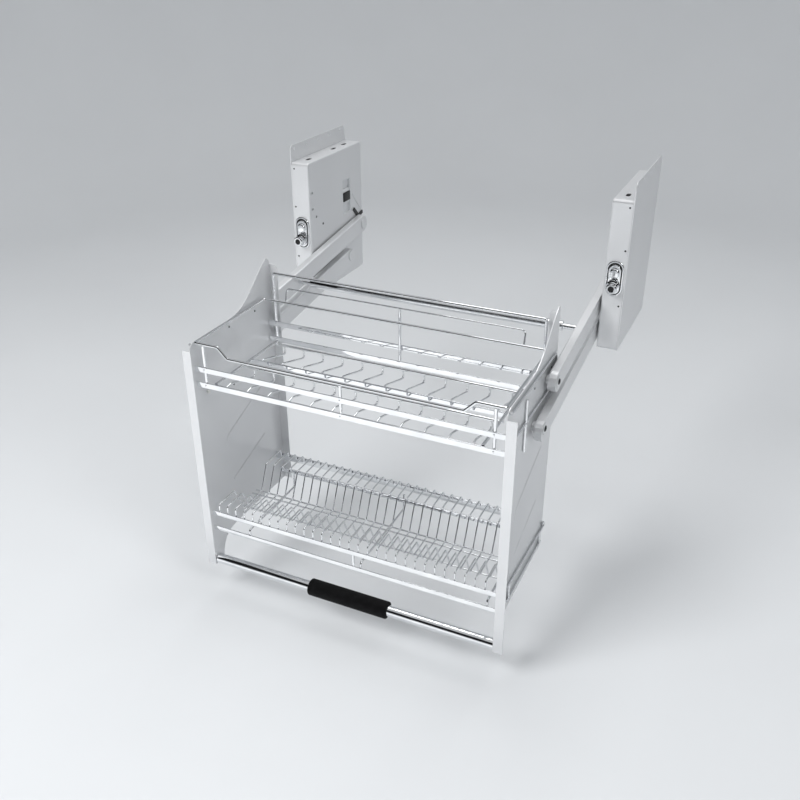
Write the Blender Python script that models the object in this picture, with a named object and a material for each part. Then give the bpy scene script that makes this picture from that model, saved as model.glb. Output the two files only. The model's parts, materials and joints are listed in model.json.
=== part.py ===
"""A pull-down dish rack for a wall cabinet, in its lowered pose, in metres with +Z up.

X runs along the cabinet, Y back into it. The origin is the middle of the cabinet's clear width, at the
front bottom edges of the two mechanism housings. Two parallel arms on each side carry a carriage of two
sheet panels, an upper cup basket, a lower plate rack and a handle.
"""

import math

import bmesh
import bpy
from mathutils import Vector

SIDES = {"left": -1, "right": 1}

# Clearances and overruns
FIT_GAP = 0.0003
CUT_OVERRUN = 0.004
PIN_CLEARANCE = 0.0004
WELD_SINK = 0.0012
ROUND_STEPS = 16
CORNER_STEPS = 3
PIN_STEPS = 12
HOLE_STEPS = 8
PLATE_STEPS = 6
CURVE_STEPS = 8
ROD_SIDES = 6
GENTLE_BEND_DEGREES = 35
SHARP_EDGE_DEGREES = 35
WIRE_SIDES = 5
THIN_WIRE_SIDES = 4
ROUND_SHARE = 0.5
MERGE_SHARE = 0.001
THIRD_SHARE = 1 / 3

# Cabinet and housings
CABINET_CLEAR_WIDTH = 0.764
HOUSING_THICKNESS = 0.044
HOUSING_DEPTH = 0.257
HOUSING_HEIGHT = 0.315
HOUSING_CORNER = 0.006
HOUSING_BEND = 0.003
COVER_SHEET = 0.0015
WALL_SHEET = 0.0018
TAB_HEIGHT = 0.036
TAB_CORNER = 0.010
TAB_SETBACK = 0.005
TAB_HOLE_COUNT = 5
TAB_HOLE_RADIUS = 0.0028
TAB_HOLE_FIRST = 0.016
TAB_HOLE_MARGIN = 0.0262
TAB_HOLE_BELOW_TOP = 0.009
TOP_SLOT_FRONT = 0.043
TOP_SLOTS_FROM_BACK = (0.098, 0.046)
TOP_SLOT_LENGTH = 0.022
TOP_SLOT_WIDTH = 0.009
SIDE_HOLES = ((0.013, 0.247), (0.013, 0.210), (0.028, 0.189), (0.057, 0.165))
SIDE_HOLE_RADIUS = 0.003
# The rib's ends, measured from the upper pivot
RIB_START = (-0.0175, 0.077)
RIB_END = (0.019, 0.037)
RIB_HALF_WIDTH = 0.0035
RIB_RISE = 0.0012

# Front plate and its turnable boss
PLATE_WIDTH = 0.035
PLATE_BOTTOM = 0.119
PLATE_HEIGHT = 0.075
PLATE_SHEET = 0.0022
PLATE_STEP_INSET = 0.0045
PLATE_STEP = 0.0020
PLATE_FROM_INNER_FACE = 0.0215
BOSS_HEIGHT = 0.142
BOSS_RADIUS = 0.0145
BOSS_LENGTH = 0.021
BOSS_CHAMFER = 0.0025
BOSS_NECK_RADIUS = 0.006
BOSS_NECK_REACH = 0.012
BOSS_SLOT_WIDTH = 0.004
BOSS_SLOT_DEPTH = 0.0045

# Square knob and its recess
TRAY_FROM_BACK = 0.100
TRAY_WIDTH = 0.038
TRAY_BOTTOM = 0.158
TRAY_HEIGHT = 0.083
TRAY_DEPTH = 0.008
TRAY_SHEET = 0.0015
TRAY_LIP = 0.0025
KNOB_WIDTH = 0.0335
KNOB_HEIGHT = 0.035
KNOB_BOTTOM = 0.182
KNOB_PROUD = 0.0022
KNOB_CORNER = 0.003
KNOB_GROOVE_COUNT = 3
KNOB_GROOVE_WIDTH = 0.002
KNOB_GROOVE_DEPTH = 0.001

# Stop above the upper pivot, its outer corners measured from that pivot
STOP_OUTER = ((-0.020, 0.0365), (0.005, 0.012), (0.0295, 0.018))
STOP_BAND = 0.008
STOP_RISE = 0.0024

# Arms and pivots. Places on a side are (Y, Z) pairs.
UPPER_PIVOT_FROM_BACK = 0.031
UPPER_PIVOT_HEIGHT = 0.120
# How far in front of and below the upper pivot the lower one lies
LOWER_PIVOT_OFFSET = (0.071, 0.061)
ARM_LENGTH = 0.5158
ARM_REST_DEGREES = 7.53
ARM_HEIGHT = 0.041
ARM_THICKNESS = 0.016
ARM_WALL = 0.0016
ARM_EDGE = 0.003
ARM_DROP = 0.0055
ARM_TO_HOUSING = 0.0035
PIVOT_RADIUS = 0.008
PIVOT_HEAD_RADIUS = 0.0135
PIVOT_HEAD = 0.0022
PIVOT_REACH = 0.036
DISC_RADIUS = 0.033
DISC_RISE = 0.0027
DISC_EDGE = 0.0008
DISC_STEPS = 24
SPRING_RADIUS = 0.019
SPRING_WIRE = 0.002
SPRING_TURNS = 3
SPRING_PITCH = 0.0075
SPRING_POINTS = 8
DAMPER_RADIUS = 0.024
DAMPER_LENGTH = 0.026

# Cross tube, measured along the upper arm from its housing pivot
TUBE_ALONG_ARM = 0.3236
TUBE_RADIUS = 0.010
TUBE_TO_ARM = 0.031
SPIGOT_RADIUS = 0.0055
SPIGOT_INSERT = 0.014

# Carriage. Its own home is the top front corner of the front strips, Y back, Z up.
UPPER_PIN = (0.2236, -0.0266)
PIN_RADIUS = 0.005
PIN_HEAD_RADIUS = 0.0125
PIN_HEAD = 0.0026
PIN_COLLAR_RADIUS = 0.009
OPEN_PIVOT_CLEARANCE = 0.0012
PANEL_TO_ARM = 0.0065
PANEL_SHEET = 0.0015
PANEL_DEPTH = 0.286
PANEL_TOP = 0.0175
PANEL_CORNER = 0.0165
PANEL_LEVEL = 0.134
EAR_TOP = 0.0965
EAR_CORNER = 0.012
EAR_PULL_LOW = 0.062
EAR_PULL_HIGH = 0.042
EAR_HIGH_DROP = 0.0205
PANEL_BOTTOM = -0.442
STRIP_BOTTOM = -0.4966
FOOT_DEPTH = 0.030
FOOT_SWEEP = 0.086
FOOT_PULL_BACK = 0.040
FOOT_PULL_FRONT = 0.006
FOOT_PULL_RISE = 0.035
STRIP_WIDTH = 0.0187
REAR_FLANGE_WIDTH = 0.0205
REAR_FLANGE_TOP = 0.0825
REAR_FLANGE_CORNER = 0.006
BEAD_UPPER = ((0.228, -0.170), (0.103, -0.218), (0.085, -0.226), (0.080, -0.246))
BEAD_LOWER = ((0.217, -0.290), (0.0925, -0.334))
BEAD_RADIUS = 0.004
BEAD_RISE = 0.0012
BEAD_BEND = 0.010

# Wire and bar stock
ROD_RADIUS = 0.003
WIRE_RADIUS = 0.002
THIN_WIRE_RADIUS = 0.0016
FLAT_BAR_HEIGHT = 0.0115
FLAT_BAR_SHEET = 0.0022
ROD_BEND = 0.008

# Upper basket. Its widths are kept as distances to the panels.
RIM_TO_PANEL = 0.002
RIM_HEIGHT = 0.0175
RIM_FRONT = 0.0105
RIM_BACK = 0.250
RIM_DIP_TO_PANEL = 0.076
RIM_DIP_RUN = 0.020
RIM_DIP = 0.0205
RIM_BEND = 0.005
BASKET_FRONT_BARS = (-0.0295, -0.062)
BASKET_REAR_BARS = (-0.036, -0.0725)
FRONT_BAR_Y = 0.0085
REAR_BAR_Y = 0.2665
UPRIGHT_TO_PANEL = 0.022
GUARD_TO_PANEL = 0.0185
GUARD_TOP = 0.0695
GUARD_BEND = 0.004
GUARD_FOOT = -0.080
INNER_GUARD_TO_PANEL = 0.0545
INNER_GUARD_TOP = 0.044
FLOOR_TO_PANEL = 0.0425
FLOOR_HEIGHT = -0.068
FLOOR_BACK = 0.2265
FLOOR_MIDDLE = 0.110
REST_BAR_TOP = -0.0605
CUP_WIRE_COUNT = 12
CUP_WIRE_MARGIN = 0.0194
CUP_DROP = 0.0215
CUP_DROP_BACK = 0.005
CUP_RUN = 0.0825
CUP_RISE = 0.0235
CUP_HOOK = 0.014
CUP_HOOK_DROP = 0.002
CUP_BEND = 0.006

# Outer rails on the panels' outer faces
OUTER_ROD_RADIUS = 0.0024
OUTER_BEND = 0.008
UPPER_RAIL = ((0.007, 0.014), (0.012, 0.008), (0.2715, 0.0075), (0.271, -0.078))
MIDDLE_RAIL = (((0.004, -0.053), (0.242, -0.053)), ((0.099, -0.008), (0.099, -0.111)))
LOWER_RAIL = (
    ((0.053, -0.381), (0.291, -0.397), (0.289, -0.386), (0.272, -0.385)),
    ((0.056, -0.417), (0.272, -0.425)),
    ((0.066, -0.3815), (0.066, -0.4178)),
    ((0.262, -0.394), (0.262, -0.425)),
)

# Lower plate rack
PLATE_WIRE_PITCH = 0.020
PLATE_WIRE_MARGIN = 0.0169
PLATE_FLOOR = -0.405
PLATE_TAIL = (0.2525, -0.364)
PLATE_PEAK = (0.2485, -0.3475)
PLATE_SHOULDER = (0.1905, -0.348)
PLATE_HEEL = 0.1635
PLATE_BUTT = 0.1065
PLATE_FOOT = 0.093
UPSTAND_PEAK = (0.065, -0.3447)
UPSTAND_FRONT = (0.0115, -0.3452)
UPSTAND_BEND = 0.003
UPSTAND_END = -0.364
HEEL_ROD = 0.1665
COMB_ROD = 0.151
FOOT_ROD = 0.1015
RACK_BAR_HEIGHT = 0.0105
RACK_BAR_TOPS = (-0.3617, -0.399)
RACK_LINK = 0.0146
SHELF_FRONT_Y = 0.1945
SHELF_FRONT_TO_PANEL = 0.0495
SHELF_FRONT_HEIGHT = 0.010
SHELF_REAR_Y = 0.2555
SHELF_REAR_TOP = -0.357
SHELF_REAR_HEIGHT = 0.0165
BRACE_RADIUS = 0.0024
BRACE_BEND = 0.004
BRACE_TOP = -0.354
BRACE_KNEE = -0.390
BRACE_FRONT = -0.388
BRACE_END = -0.403
BRACE_LEFT_TO_PANEL = 0.087
BRACE_MIDDLE = 0.0311
BRACE_RIGHT_TO_PANEL = 0.019
BRACE_REACH = 0.1905
BRACE_MIDDLE_REACH = 0.213

# Handle
HANDLE_PLACE = (0.012, -0.4877)
HANDLE_RADIUS = 0.011
GRIP_RADIUS = 0.0174
GRIP_START = -0.086
GRIP_END = 0.089
GRIP_EDGE = 0.004


def polar(centre, radius, degrees):
    """A point at an angle round a centre."""
    angle = math.radians(degrees)
    return (centre[0] + radius * math.cos(angle), centre[1] + radius * math.sin(angle))


def arc(centre, radius, start, end, steps=CORNER_STEPS):
    """Points of an arc between two angles in degrees, both ends included."""
    return [polar(centre, radius, start + (end - start) * step / steps) for step in range(steps + 1)]


def circle(centre, radius, steps=ROUND_STEPS):
    """Points of a full circle."""
    return arc(centre, radius, 0, 360, steps)[:-1]


def rounded_rectangle(low, high, radius):
    """A rectangle between two corners, with rounded corners."""
    right, top = high[0] - radius, high[1] - radius
    left, bottom = low[0] + radius, low[1] + radius
    corners = (((right, top), 0), ((left, top), 90), ((left, bottom), 180), ((right, bottom), 270))
    return [point for centre, turn in corners for point in arc(centre, radius, turn, turn + 90)]


def stadium(first, last, radius, steps=ROUND_STEPS // 2):
    """A long hole's outline round two centres."""
    turn = math.degrees(math.atan2(last[1] - first[1], last[0] - first[0]))
    near = arc(first, radius, turn + 90, turn + 270, steps)
    return near + arc(last, radius, turn - 90, turn + 90, steps)


def bezier(start, pull_start, pull_end, end, steps=CURVE_STEPS):
    """Points of a cubic curve, both ends included."""
    points = []
    for step in range(steps + 1):
        t = step / steps
        shares = ((1 - t) ** 3, 3 * t * (1 - t) ** 2, 3 * t * t * (1 - t), t ** 3)
        corners = (start, pull_start, pull_end, end)
        points.append(tuple(sum(share * corner[i] for share, corner in zip(shares, corners)) for i in (0, 1)))
    return points


def bent(points, radius, steps=2):
    """A path in space with each inner corner rounded."""
    path = [Vector(point) for point in points]
    rounded = [path[0]]
    for before, corner, after in zip(path, path[1:], path[2:]):
        back = (before - corner).normalized()
        ahead = (after - corner).normalized()
        half_angle = back.angle(ahead) / 2
        if half_angle > math.radians(180 - GENTLE_BEND_DEGREES) / 2:
            rounded.append(corner)
            continue
        reach = radius / math.tan(half_angle)
        reach = min(reach, (before - corner).length / 2, (after - corner).length / 2)
        curve_radius = reach * math.tan(half_angle)
        centre = corner + (back + ahead).normalized() * reach / math.cos(half_angle)
        start = (corner + back * reach - centre).normalized()
        end = (corner + ahead * reach - centre).normalized()
        for step in range(steps + 1):
            rounded.append(centre + start.slerp(end, step / steps) * curve_radius)
    rounded.append(path[-1])
    return rounded


def clear_scene():
    """Removes whatever the scene holds."""
    for item in list(bpy.data.objects):
        bpy.data.objects.remove(item, do_unlink=True)


def place_in_scene(name, data):
    """A new object in the scene."""
    item = bpy.data.objects.new(name, data)
    bpy.context.scene.collection.objects.link(item)
    return item


def solid_from(shape):
    """A solid object from a bmesh, with its faces pointing out."""
    bmesh.ops.recalc_face_normals(shape, faces=shape.faces)
    mesh = bpy.data.meshes.new("solid")
    shape.to_mesh(mesh)
    shape.free()
    return place_in_scene("solid", mesh)


def prism(outline, axis, low, high, edge=0, segments=1):
    """An outline extruded along X, Y or Z, its high end's edge rounded on request."""
    shape = bmesh.new()
    corners = [point[:axis] + (low,) + point[axis:] for point in outline]
    face = shape.faces.new([shape.verts.new(corner) for corner in corners])
    grown = bmesh.ops.extrude_face_region(shape, geom=[face])
    cap = [item for item in grown["geom"] if isinstance(item, bmesh.types.BMFace)]
    ends = [item for item in grown["geom"] if isinstance(item, bmesh.types.BMVert)]
    shift = Vector([high - low if i == axis else 0 for i in range(3)])
    bmesh.ops.translate(shape, vec=shift, verts=ends)
    if edge:
        rim = list({line for item in cap for line in item.edges})
        bmesh.ops.bevel(shape, geom=rim, offset=edge, segments=segments, profile=ROUND_SHARE, affect="EDGES")
    return solid_from(shape)


def box(low, high):
    """A plain box between two corners."""
    outline = [(low[1], low[2]), (high[1], low[2]), (high[1], high[2]), (low[1], high[2])]
    return prism(outline, 0, low[0], high[0])


def cylinder(centre, axis, radius, low, high, edge=0, steps=ROUND_STEPS):
    """A round bar along X, Y or Z."""
    return prism(circle(centre, radius, steps), axis, low, high, edge)


def polyline(paths, closed):
    """A curve object of straight runs along paths."""
    curve = bpy.data.curves.new("rods", "CURVE")
    curve.dimensions = "3D"
    for path in paths:
        spline = curve.splines.new("POLY")
        spline.points.add(len(path) - 1)
        for point, spot in zip(spline.points, path):
            point.co = (*spot, 1)
        spline.use_cyclic_u = closed
    return place_in_scene("rods", curve)


def rods(paths, radius, sides=WIRE_SIDES, closed=False):
    """Round rods along paths, as one mesh."""
    section = polyline([[(x, y, 0) for x, y in circle((0, 0), radius, sides)]], True)
    helper = polyline(paths, closed)
    helper.data.bevel_mode = "OBJECT"
    helper.data.bevel_object = section
    helper.data.use_fill_caps = not closed
    mesh = evaluated_mesh(helper)
    bpy.data.objects.remove(helper)
    bpy.data.objects.remove(section)
    shape = bmesh.new()
    shape.from_mesh(mesh)
    bmesh.ops.remove_doubles(shape, verts=shape.verts, dist=radius * MERGE_SHARE)
    return solid_from(shape)


def evaluated_mesh(item):
    """An object's mesh with its modifiers applied."""
    graph = bpy.context.evaluated_depsgraph_get()
    return bpy.data.meshes.new_from_object(item.evaluated_get(graph))


def together(items):
    """One object of several solids that don't touch."""
    shape = bmesh.new()
    for item in items:
        shape.from_mesh(item.data)
        bpy.data.objects.remove(item)
    return solid_from(shape)


def combine(solid, others, operation):
    """Joins other solids to one, or cuts them from it."""
    for other in others:
        modifier = solid.modifiers.new(operation, "BOOLEAN")
        modifier.operation = operation
        modifier.object = other
    mesh = evaluated_mesh(solid)
    solid.modifiers.clear()
    solid.data = mesh
    for other in others:
        bpy.data.objects.remove(other)
    return solid


def join(solid, *others):
    """A solid with others welded to it."""
    return combine(solid, others, "UNION")


def cut(solid, *others):
    """A solid with others cut out of it."""
    return combine(solid, others, "DIFFERENCE")


def finish(item, name, material, parent=None, home=(0, 0, 0)):
    """Names a solid, shades it, gives it its material and hangs it on its parent."""
    item.name = name
    item.data.name = name
    item.data.materials.clear()
    item.data.materials.append(material)
    item.data.shade_smooth()
    item.data.set_sharp_from_angle(angle=math.radians(SHARP_EDGE_DEGREES))
    item.location = home
    if parent:
        item.parent = parent
        item.location = Vector(home) - parent.location
    return item


def material(name, colour, roughness, metallic):
    """A plain surface material."""
    surface = bpy.data.materials.new(name)
    surface.use_nodes = True
    shader = surface.node_tree.nodes["Principled BSDF"]
    shader.inputs["Base Color"].default_value = (*colour, 1)
    shader.inputs["Roughness"].default_value = roughness
    shader.inputs["Metallic"].default_value = metallic
    return surface


def pivot_empty(name, place):
    """The axis on which a moving body turns or slides."""
    item = place_in_scene(name, None)
    item.location = place
    return item


def side_box(side, near, far, low, high):
    """A box on one side, near and far being distances from the middle."""
    ends = sorted((side * near, side * far))
    return box((ends[0], *low), (ends[1], *high))


def side_prism(outline, side, near, far, edge=0, segments=1):
    """A (Y, Z) outline extruded outwards on one side. The rounded edge is the near one."""
    return prism(outline, 0, side * far, side * near, edge, segments)


WALL_FACE = CABINET_CLEAR_WIDTH / 2
HOUSING_INNER = WALL_FACE - HOUSING_THICKNESS
COVER_OUTER = WALL_FACE - WALL_SHEET - FIT_GAP
ARM_OUTER = HOUSING_INNER - ARM_TO_HOUSING
ARM_INNER = ARM_OUTER - ARM_THICKNESS
PANEL_OUTER = ARM_INNER - PANEL_TO_ARM
PANEL_INNER = PANEL_OUTER - PANEL_SHEET
UPPER_PIVOT = (HOUSING_DEPTH - UPPER_PIVOT_FROM_BACK, UPPER_PIVOT_HEIGHT)
LOWER_PIVOT = (UPPER_PIVOT[0] - LOWER_PIVOT_OFFSET[0], UPPER_PIVOT[1] - LOWER_PIVOT_OFFSET[1])
TRAY_FRONT = HOUSING_DEPTH - TRAY_FROM_BACK
TAB_HOLE_PITCH = (HOUSING_DEPTH - TAB_HOLE_FIRST - TAB_HOLE_MARGIN) / (TAB_HOLE_COUNT - 1)
TOP_SLOT_PLACES = (TOP_SLOT_FRONT, *(HOUSING_DEPTH - gap for gap in TOP_SLOTS_FROM_BACK))
TUBE_HALF_LENGTH = ARM_INNER - TUBE_TO_ARM
BASKET_HALF_WIDTH = PANEL_INNER - RIM_TO_PANEL
RIM_DIP_HALF = PANEL_INNER - RIM_DIP_TO_PANEL
UPRIGHT_HALF = PANEL_INNER - UPRIGHT_TO_PANEL
GUARD_HALF_WIDTH = PANEL_INNER - GUARD_TO_PANEL
INNER_GUARD_HALF = PANEL_INNER - INNER_GUARD_TO_PANEL
FLOOR_HALF_WIDTH = PANEL_INNER - FLOOR_TO_PANEL
SHELF_FRONT_HALF = PANEL_INNER - SHELF_FRONT_TO_PANEL
CUP_WIRE_PITCH = 2 * (FLOOR_HALF_WIDTH - CUP_WIRE_MARGIN) / (CUP_WIRE_COUNT - 1)
PLATE_WIRE_COUNT = int(2 * PANEL_INNER / PLATE_WIRE_PITCH) - 1
PLATE_WIRE_FIRST = PLATE_WIRE_MARGIN - PANEL_INNER
BRACES = (
    (BRACE_LEFT_TO_PANEL - PANEL_INNER, BRACE_REACH),
    (BRACE_MIDDLE, BRACE_MIDDLE_REACH),
    (PANEL_INNER - BRACE_RIGHT_TO_PANEL, BRACE_REACH),
)
ARM_REST = math.radians(ARM_REST_DEGREES)
CUP_REACH = CUP_RUN + CUP_HOOK - CUP_DROP_BACK
FLOOR_FRONT = FLOOR_MIDDLE - CUP_REACH - ROD_RADIUS - 2 * FIT_GAP
REST_BAR = FLOOR_BACK - CUP_REACH - FLAT_BAR_SHEET / 2 - 2 * FIT_GAP
CARRIAGE_HOME = (
    0,
    UPPER_PIVOT[0] - ARM_LENGTH * math.cos(ARM_REST) - UPPER_PIN[0],
    UPPER_PIVOT[1] - ARM_LENGTH * math.sin(ARM_REST) - UPPER_PIN[1],
)
LOWER_PIN = (UPPER_PIN[0] - LOWER_PIVOT_OFFSET[0], UPPER_PIN[1] - LOWER_PIVOT_OFFSET[1])


def from_upper_pivot(place):
    """A (Y, Z) place measured from the upper pivot."""
    return (UPPER_PIVOT[0] + place[0], UPPER_PIVOT[1] + place[1])


def wall_plate(side):
    """The housing's back, with a tab above it for five screws."""
    corner = TAB_SETBACK
    outline = [(0, 0), (HOUSING_DEPTH, 0), (HOUSING_DEPTH, HOUSING_HEIGHT)]
    tab_top = HOUSING_HEIGHT + TAB_HEIGHT - TAB_CORNER
    outline += arc((HOUSING_DEPTH - corner - TAB_CORNER, tab_top), TAB_CORNER, 0, 90)
    outline += arc((TAB_CORNER, tab_top), TAB_CORNER, 90, 180)
    plate = side_prism(outline, side, WALL_FACE - WALL_SHEET, WALL_FACE)
    row = HOUSING_HEIGHT + TAB_HEIGHT - TAB_HOLE_BELOW_TOP
    ends = sorted(side * x for x in (WALL_FACE + CUT_OVERRUN, WALL_FACE - WALL_SHEET - CUT_OVERRUN))
    holes = []
    for count in range(TAB_HOLE_COUNT):
        centre = (TAB_HOLE_FIRST + count * TAB_HOLE_PITCH, row)
        holes.append(cylinder(centre, 0, TAB_HOLE_RADIUS, *ends, steps=HOLE_STEPS))
    return cut(plate, together(holes))


def housing_cover(side):
    """A pressed tray over the mechanism, open to the cabinet wall."""
    corner = HOUSING_CORNER
    outline = rounded_rectangle((0, 0), (HOUSING_DEPTH, HOUSING_HEIGHT), corner)
    cover = side_prism(outline, side, HOUSING_INNER, COVER_OUTER, HOUSING_BEND, 2)
    wall = COVER_SHEET
    low, high = (wall, wall), (HOUSING_DEPTH - wall, HOUSING_HEIGHT - wall)
    inside = rounded_rectangle(low, high, corner - wall)
    cover = cut(cover, side_prism(inside, side, HOUSING_INNER + wall, COVER_OUTER + CUT_OVERRUN))
    rib_end = (HOUSING_INNER - RIB_RISE, HOUSING_INNER + wall / 2)
    start, end = (from_upper_pivot(place) for place in (RIB_START, RIB_END))
    rib = side_prism(stadium(start, end, RIB_HALF_WIDTH, CORNER_STEPS), side, *rib_end)
    cover = join(cover, rib)
    through = (HOUSING_INNER - CUT_OVERRUN, HOUSING_INNER + wall + CUT_OVERRUN)
    ends = sorted(side * x for x in through)
    bore = PIVOT_RADIUS + PIN_CLEARANCE
    openings = [cylinder(place, 0, bore, *ends, steps=PIN_STEPS) for place in (UPPER_PIVOT, LOWER_PIVOT)]
    for place in SIDE_HOLES:
        openings.append(cylinder(place, 0, SIDE_HOLE_RADIUS, *ends, steps=HOLE_STEPS))
    gap = FIT_GAP
    low = (TRAY_FRONT - gap, TRAY_BOTTOM - gap)
    high = (TRAY_FRONT + TRAY_WIDTH + gap, TRAY_BOTTOM + TRAY_HEIGHT + gap)
    openings.append(side_box(side, *through, low, high))
    middle = side * (HOUSING_INNER + HOUSING_THICKNESS / 2)
    for place in TOP_SLOT_PLACES:
        half = (TOP_SLOT_LENGTH - TOP_SLOT_WIDTH) / 2
        slot = stadium((middle, place - half), (middle, place + half), TOP_SLOT_WIDTH / 2, CORNER_STEPS)
        openings.append(prism(slot, 2, HOUSING_HEIGHT - wall - CUT_OVERRUN, HOUSING_HEIGHT + CUT_OVERRUN))
    neck = BOSS_NECK_RADIUS + PIN_CLEARANCE
    boss = (side * boss_from_middle(), BOSS_HEIGHT)
    openings.append(cylinder(boss, 1, neck, -CUT_OVERRUN, wall + CUT_OVERRUN, steps=PIN_STEPS))
    return cut(cover, together(openings))


def boss_from_middle():
    """Distance of the front plate's and the boss's centre line from the middle."""
    return HOUSING_INNER + PLATE_FROM_INNER_FACE


def front_plate(side):
    """A stepped plate with round ends on the housing's front."""
    middle = side * boss_from_middle()
    radius = PLATE_WIDTH / 2
    low, high = PLATE_BOTTOM + radius, PLATE_BOTTOM + PLATE_HEIGHT - radius
    back = -FIT_GAP
    front = back - PLATE_SHEET
    ends = ((middle, low), (middle, high))
    outline = stadium(*ends, radius, PLATE_STEPS)
    step = stadium(*ends, radius - PLATE_STEP_INSET, PLATE_STEPS)
    plate = prism(outline, 1, back, front, PLATE_SHEET * THIRD_SHARE)
    plate = join(plate, prism(step, 1, back - PLATE_SHEET / 2, front - PLATE_STEP, PLATE_STEP * THIRD_SHARE))
    bore = BOSS_NECK_RADIUS + PIN_CLEARANCE
    reach = (front - PLATE_STEP - CUT_OVERRUN, CUT_OVERRUN)
    hole = cylinder((middle, BOSS_HEIGHT), 1, bore, *reach, steps=PIN_STEPS)
    return cut(plate, hole)


def adjuster_boss(side):
    """A round head with a coin slot, on a neck through the plate. Its origin is on its axis."""
    back = -FIT_GAP - PLATE_SHEET - PLATE_STEP - FIT_GAP
    head = cylinder((0, 0), 1, BOSS_RADIUS, back, back - BOSS_LENGTH, BOSS_CHAMFER)
    neck_start = back - BOSS_LENGTH / 2
    neck = cylinder((0, 0), 1, BOSS_NECK_RADIUS, neck_start, BOSS_NECK_REACH, steps=PIN_STEPS)
    front = back - BOSS_LENGTH
    half = BOSS_SLOT_WIDTH / 2
    reach = BOSS_RADIUS + CUT_OVERRUN
    slot = box((-half, front - CUT_OVERRUN, -reach), (half, front + BOSS_SLOT_DEPTH, reach))
    return cut(join(head, neck), slot)


def slider_tray(side):
    """A shallow recess behind a thin lip, in the housing's inner face."""
    low = (TRAY_FRONT, TRAY_BOTTOM)
    high = (TRAY_FRONT + TRAY_WIDTH, TRAY_BOTTOM + TRAY_HEIGHT)
    outer = side_box(side, HOUSING_INNER, HOUSING_INNER + TRAY_DEPTH, low, high)
    back = HOUSING_INNER + COVER_SHEET + FIT_GAP
    lip_low = (low[0] - TRAY_LIP, low[1] - TRAY_LIP)
    lip_high = (high[0] + TRAY_LIP, high[1] + TRAY_LIP)
    lip = side_box(side, back, back + TRAY_SHEET, lip_low, lip_high)
    wall = TRAY_SHEET
    low = (low[0] + wall, low[1] + wall)
    high = (high[0] - wall, high[1] - wall)
    hollow = side_box(side, HOUSING_INNER - CUT_OVERRUN, HOUSING_INNER + TRAY_DEPTH - wall, low, high)
    return cut(join(outer, lip), hollow)


def force_slider(side):
    """A square knob with finger grooves, in the tray."""
    low = (TRAY_FRONT + (TRAY_WIDTH - KNOB_WIDTH) / 2, KNOB_BOTTOM)
    high = (low[0] + KNOB_WIDTH, low[1] + KNOB_HEIGHT)
    floor = HOUSING_INNER + TRAY_DEPTH - TRAY_SHEET - FIT_GAP
    outline = rounded_rectangle(low, high, KNOB_CORNER)
    knob = side_prism(outline, side, HOUSING_INNER - KNOB_PROUD, floor, KNOB_GROOVE_DEPTH)
    grooves = []
    for count in range(KNOB_GROOVE_COUNT):
        middle = low[1] + KNOB_HEIGHT * (count + 1) / (KNOB_GROOVE_COUNT + 1)
        near = HOUSING_INNER - KNOB_PROUD - CUT_OVERRUN
        far = HOUSING_INNER - KNOB_PROUD + KNOB_GROOVE_DEPTH
        half = KNOB_GROOVE_WIDTH / 2
        bottom = (low[0] + KNOB_CORNER, middle - half)
        top = (high[0] - KNOB_CORNER, middle + half)
        grooves.append(side_box(side, near, far, bottom, top))
    return cut(knob, together(grooves))


def arm_stop(side):
    """A V-shaped stop, a band of even width."""
    first, tip, last = (Vector(from_upper_pivot(place)) for place in STOP_OUTER)
    down, up = (tip - first).normalized(), (last - tip).normalized()
    band = STOP_BAND
    across_down = Vector((down.y, -down.x)) * -band
    across_up = Vector((up.y, -up.x)) * -band
    inner_tip = tip + (across_down + across_up) / (1 + down.dot(up))
    outline = [first, tip, last, last + across_up, inner_tip, first + across_down]
    near = HOUSING_INNER - FIT_GAP - STOP_RISE
    return side_prism([tuple(point) for point in outline], side, near, HOUSING_INNER - FIT_GAP)


def pivot_disc(side):
    """A raised round bearing plate of the lower arm."""
    near = HOUSING_INNER - FIT_GAP - DISC_RISE
    far = HOUSING_INNER - FIT_GAP
    disc = side_prism(circle(LOWER_PIVOT, DISC_RADIUS, DISC_STEPS), side, near, far, DISC_EDGE)
    ends = sorted((side * (near - CUT_OVERRUN), side * (far + CUT_OVERRUN)))
    return cut(disc, cylinder(LOWER_PIVOT, 0, PIVOT_RADIUS + PIN_CLEARANCE, *ends, steps=PIN_STEPS))


def lift_spring(side):
    """A torsion coil round the upper shaft, its legs running off at a tangent."""
    start = HOUSING_INNER + COVER_SHEET + SPRING_WIRE + FIT_GAP
    turns = []
    for step in range(SPRING_TURNS * SPRING_POINTS + 1):
        turn = step / SPRING_POINTS
        y, z = polar(UPPER_PIVOT, SPRING_RADIUS, 360 * turn)
        turns.append((side * (start + SPRING_PITCH * turn), y, z))
    first, last = turns[0], turns[-1]
    turns.insert(0, (first[0], first[1], first[2] - SPRING_RADIUS))
    turns.append((last[0], last[1], last[2] + SPRING_RADIUS))
    return rods([turns], SPRING_WIRE, THIN_WIRE_SIDES)


def damper_can(side):
    """A round damper behind the cover, with the lower shaft through it."""
    near = HOUSING_INNER + COVER_SHEET + FIT_GAP
    far = near + DAMPER_LENGTH
    can = side_prism(circle(LOWER_PIVOT, DAMPER_RADIUS, PIN_STEPS), side, near, far)
    ends = sorted((side * (near - CUT_OVERRUN), side * (far + CUT_OVERRUN)))
    return cut(can, cylinder(LOWER_PIVOT, 0, PIVOT_RADIUS + PIN_CLEARANCE, *ends, steps=PIN_STEPS))


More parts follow.
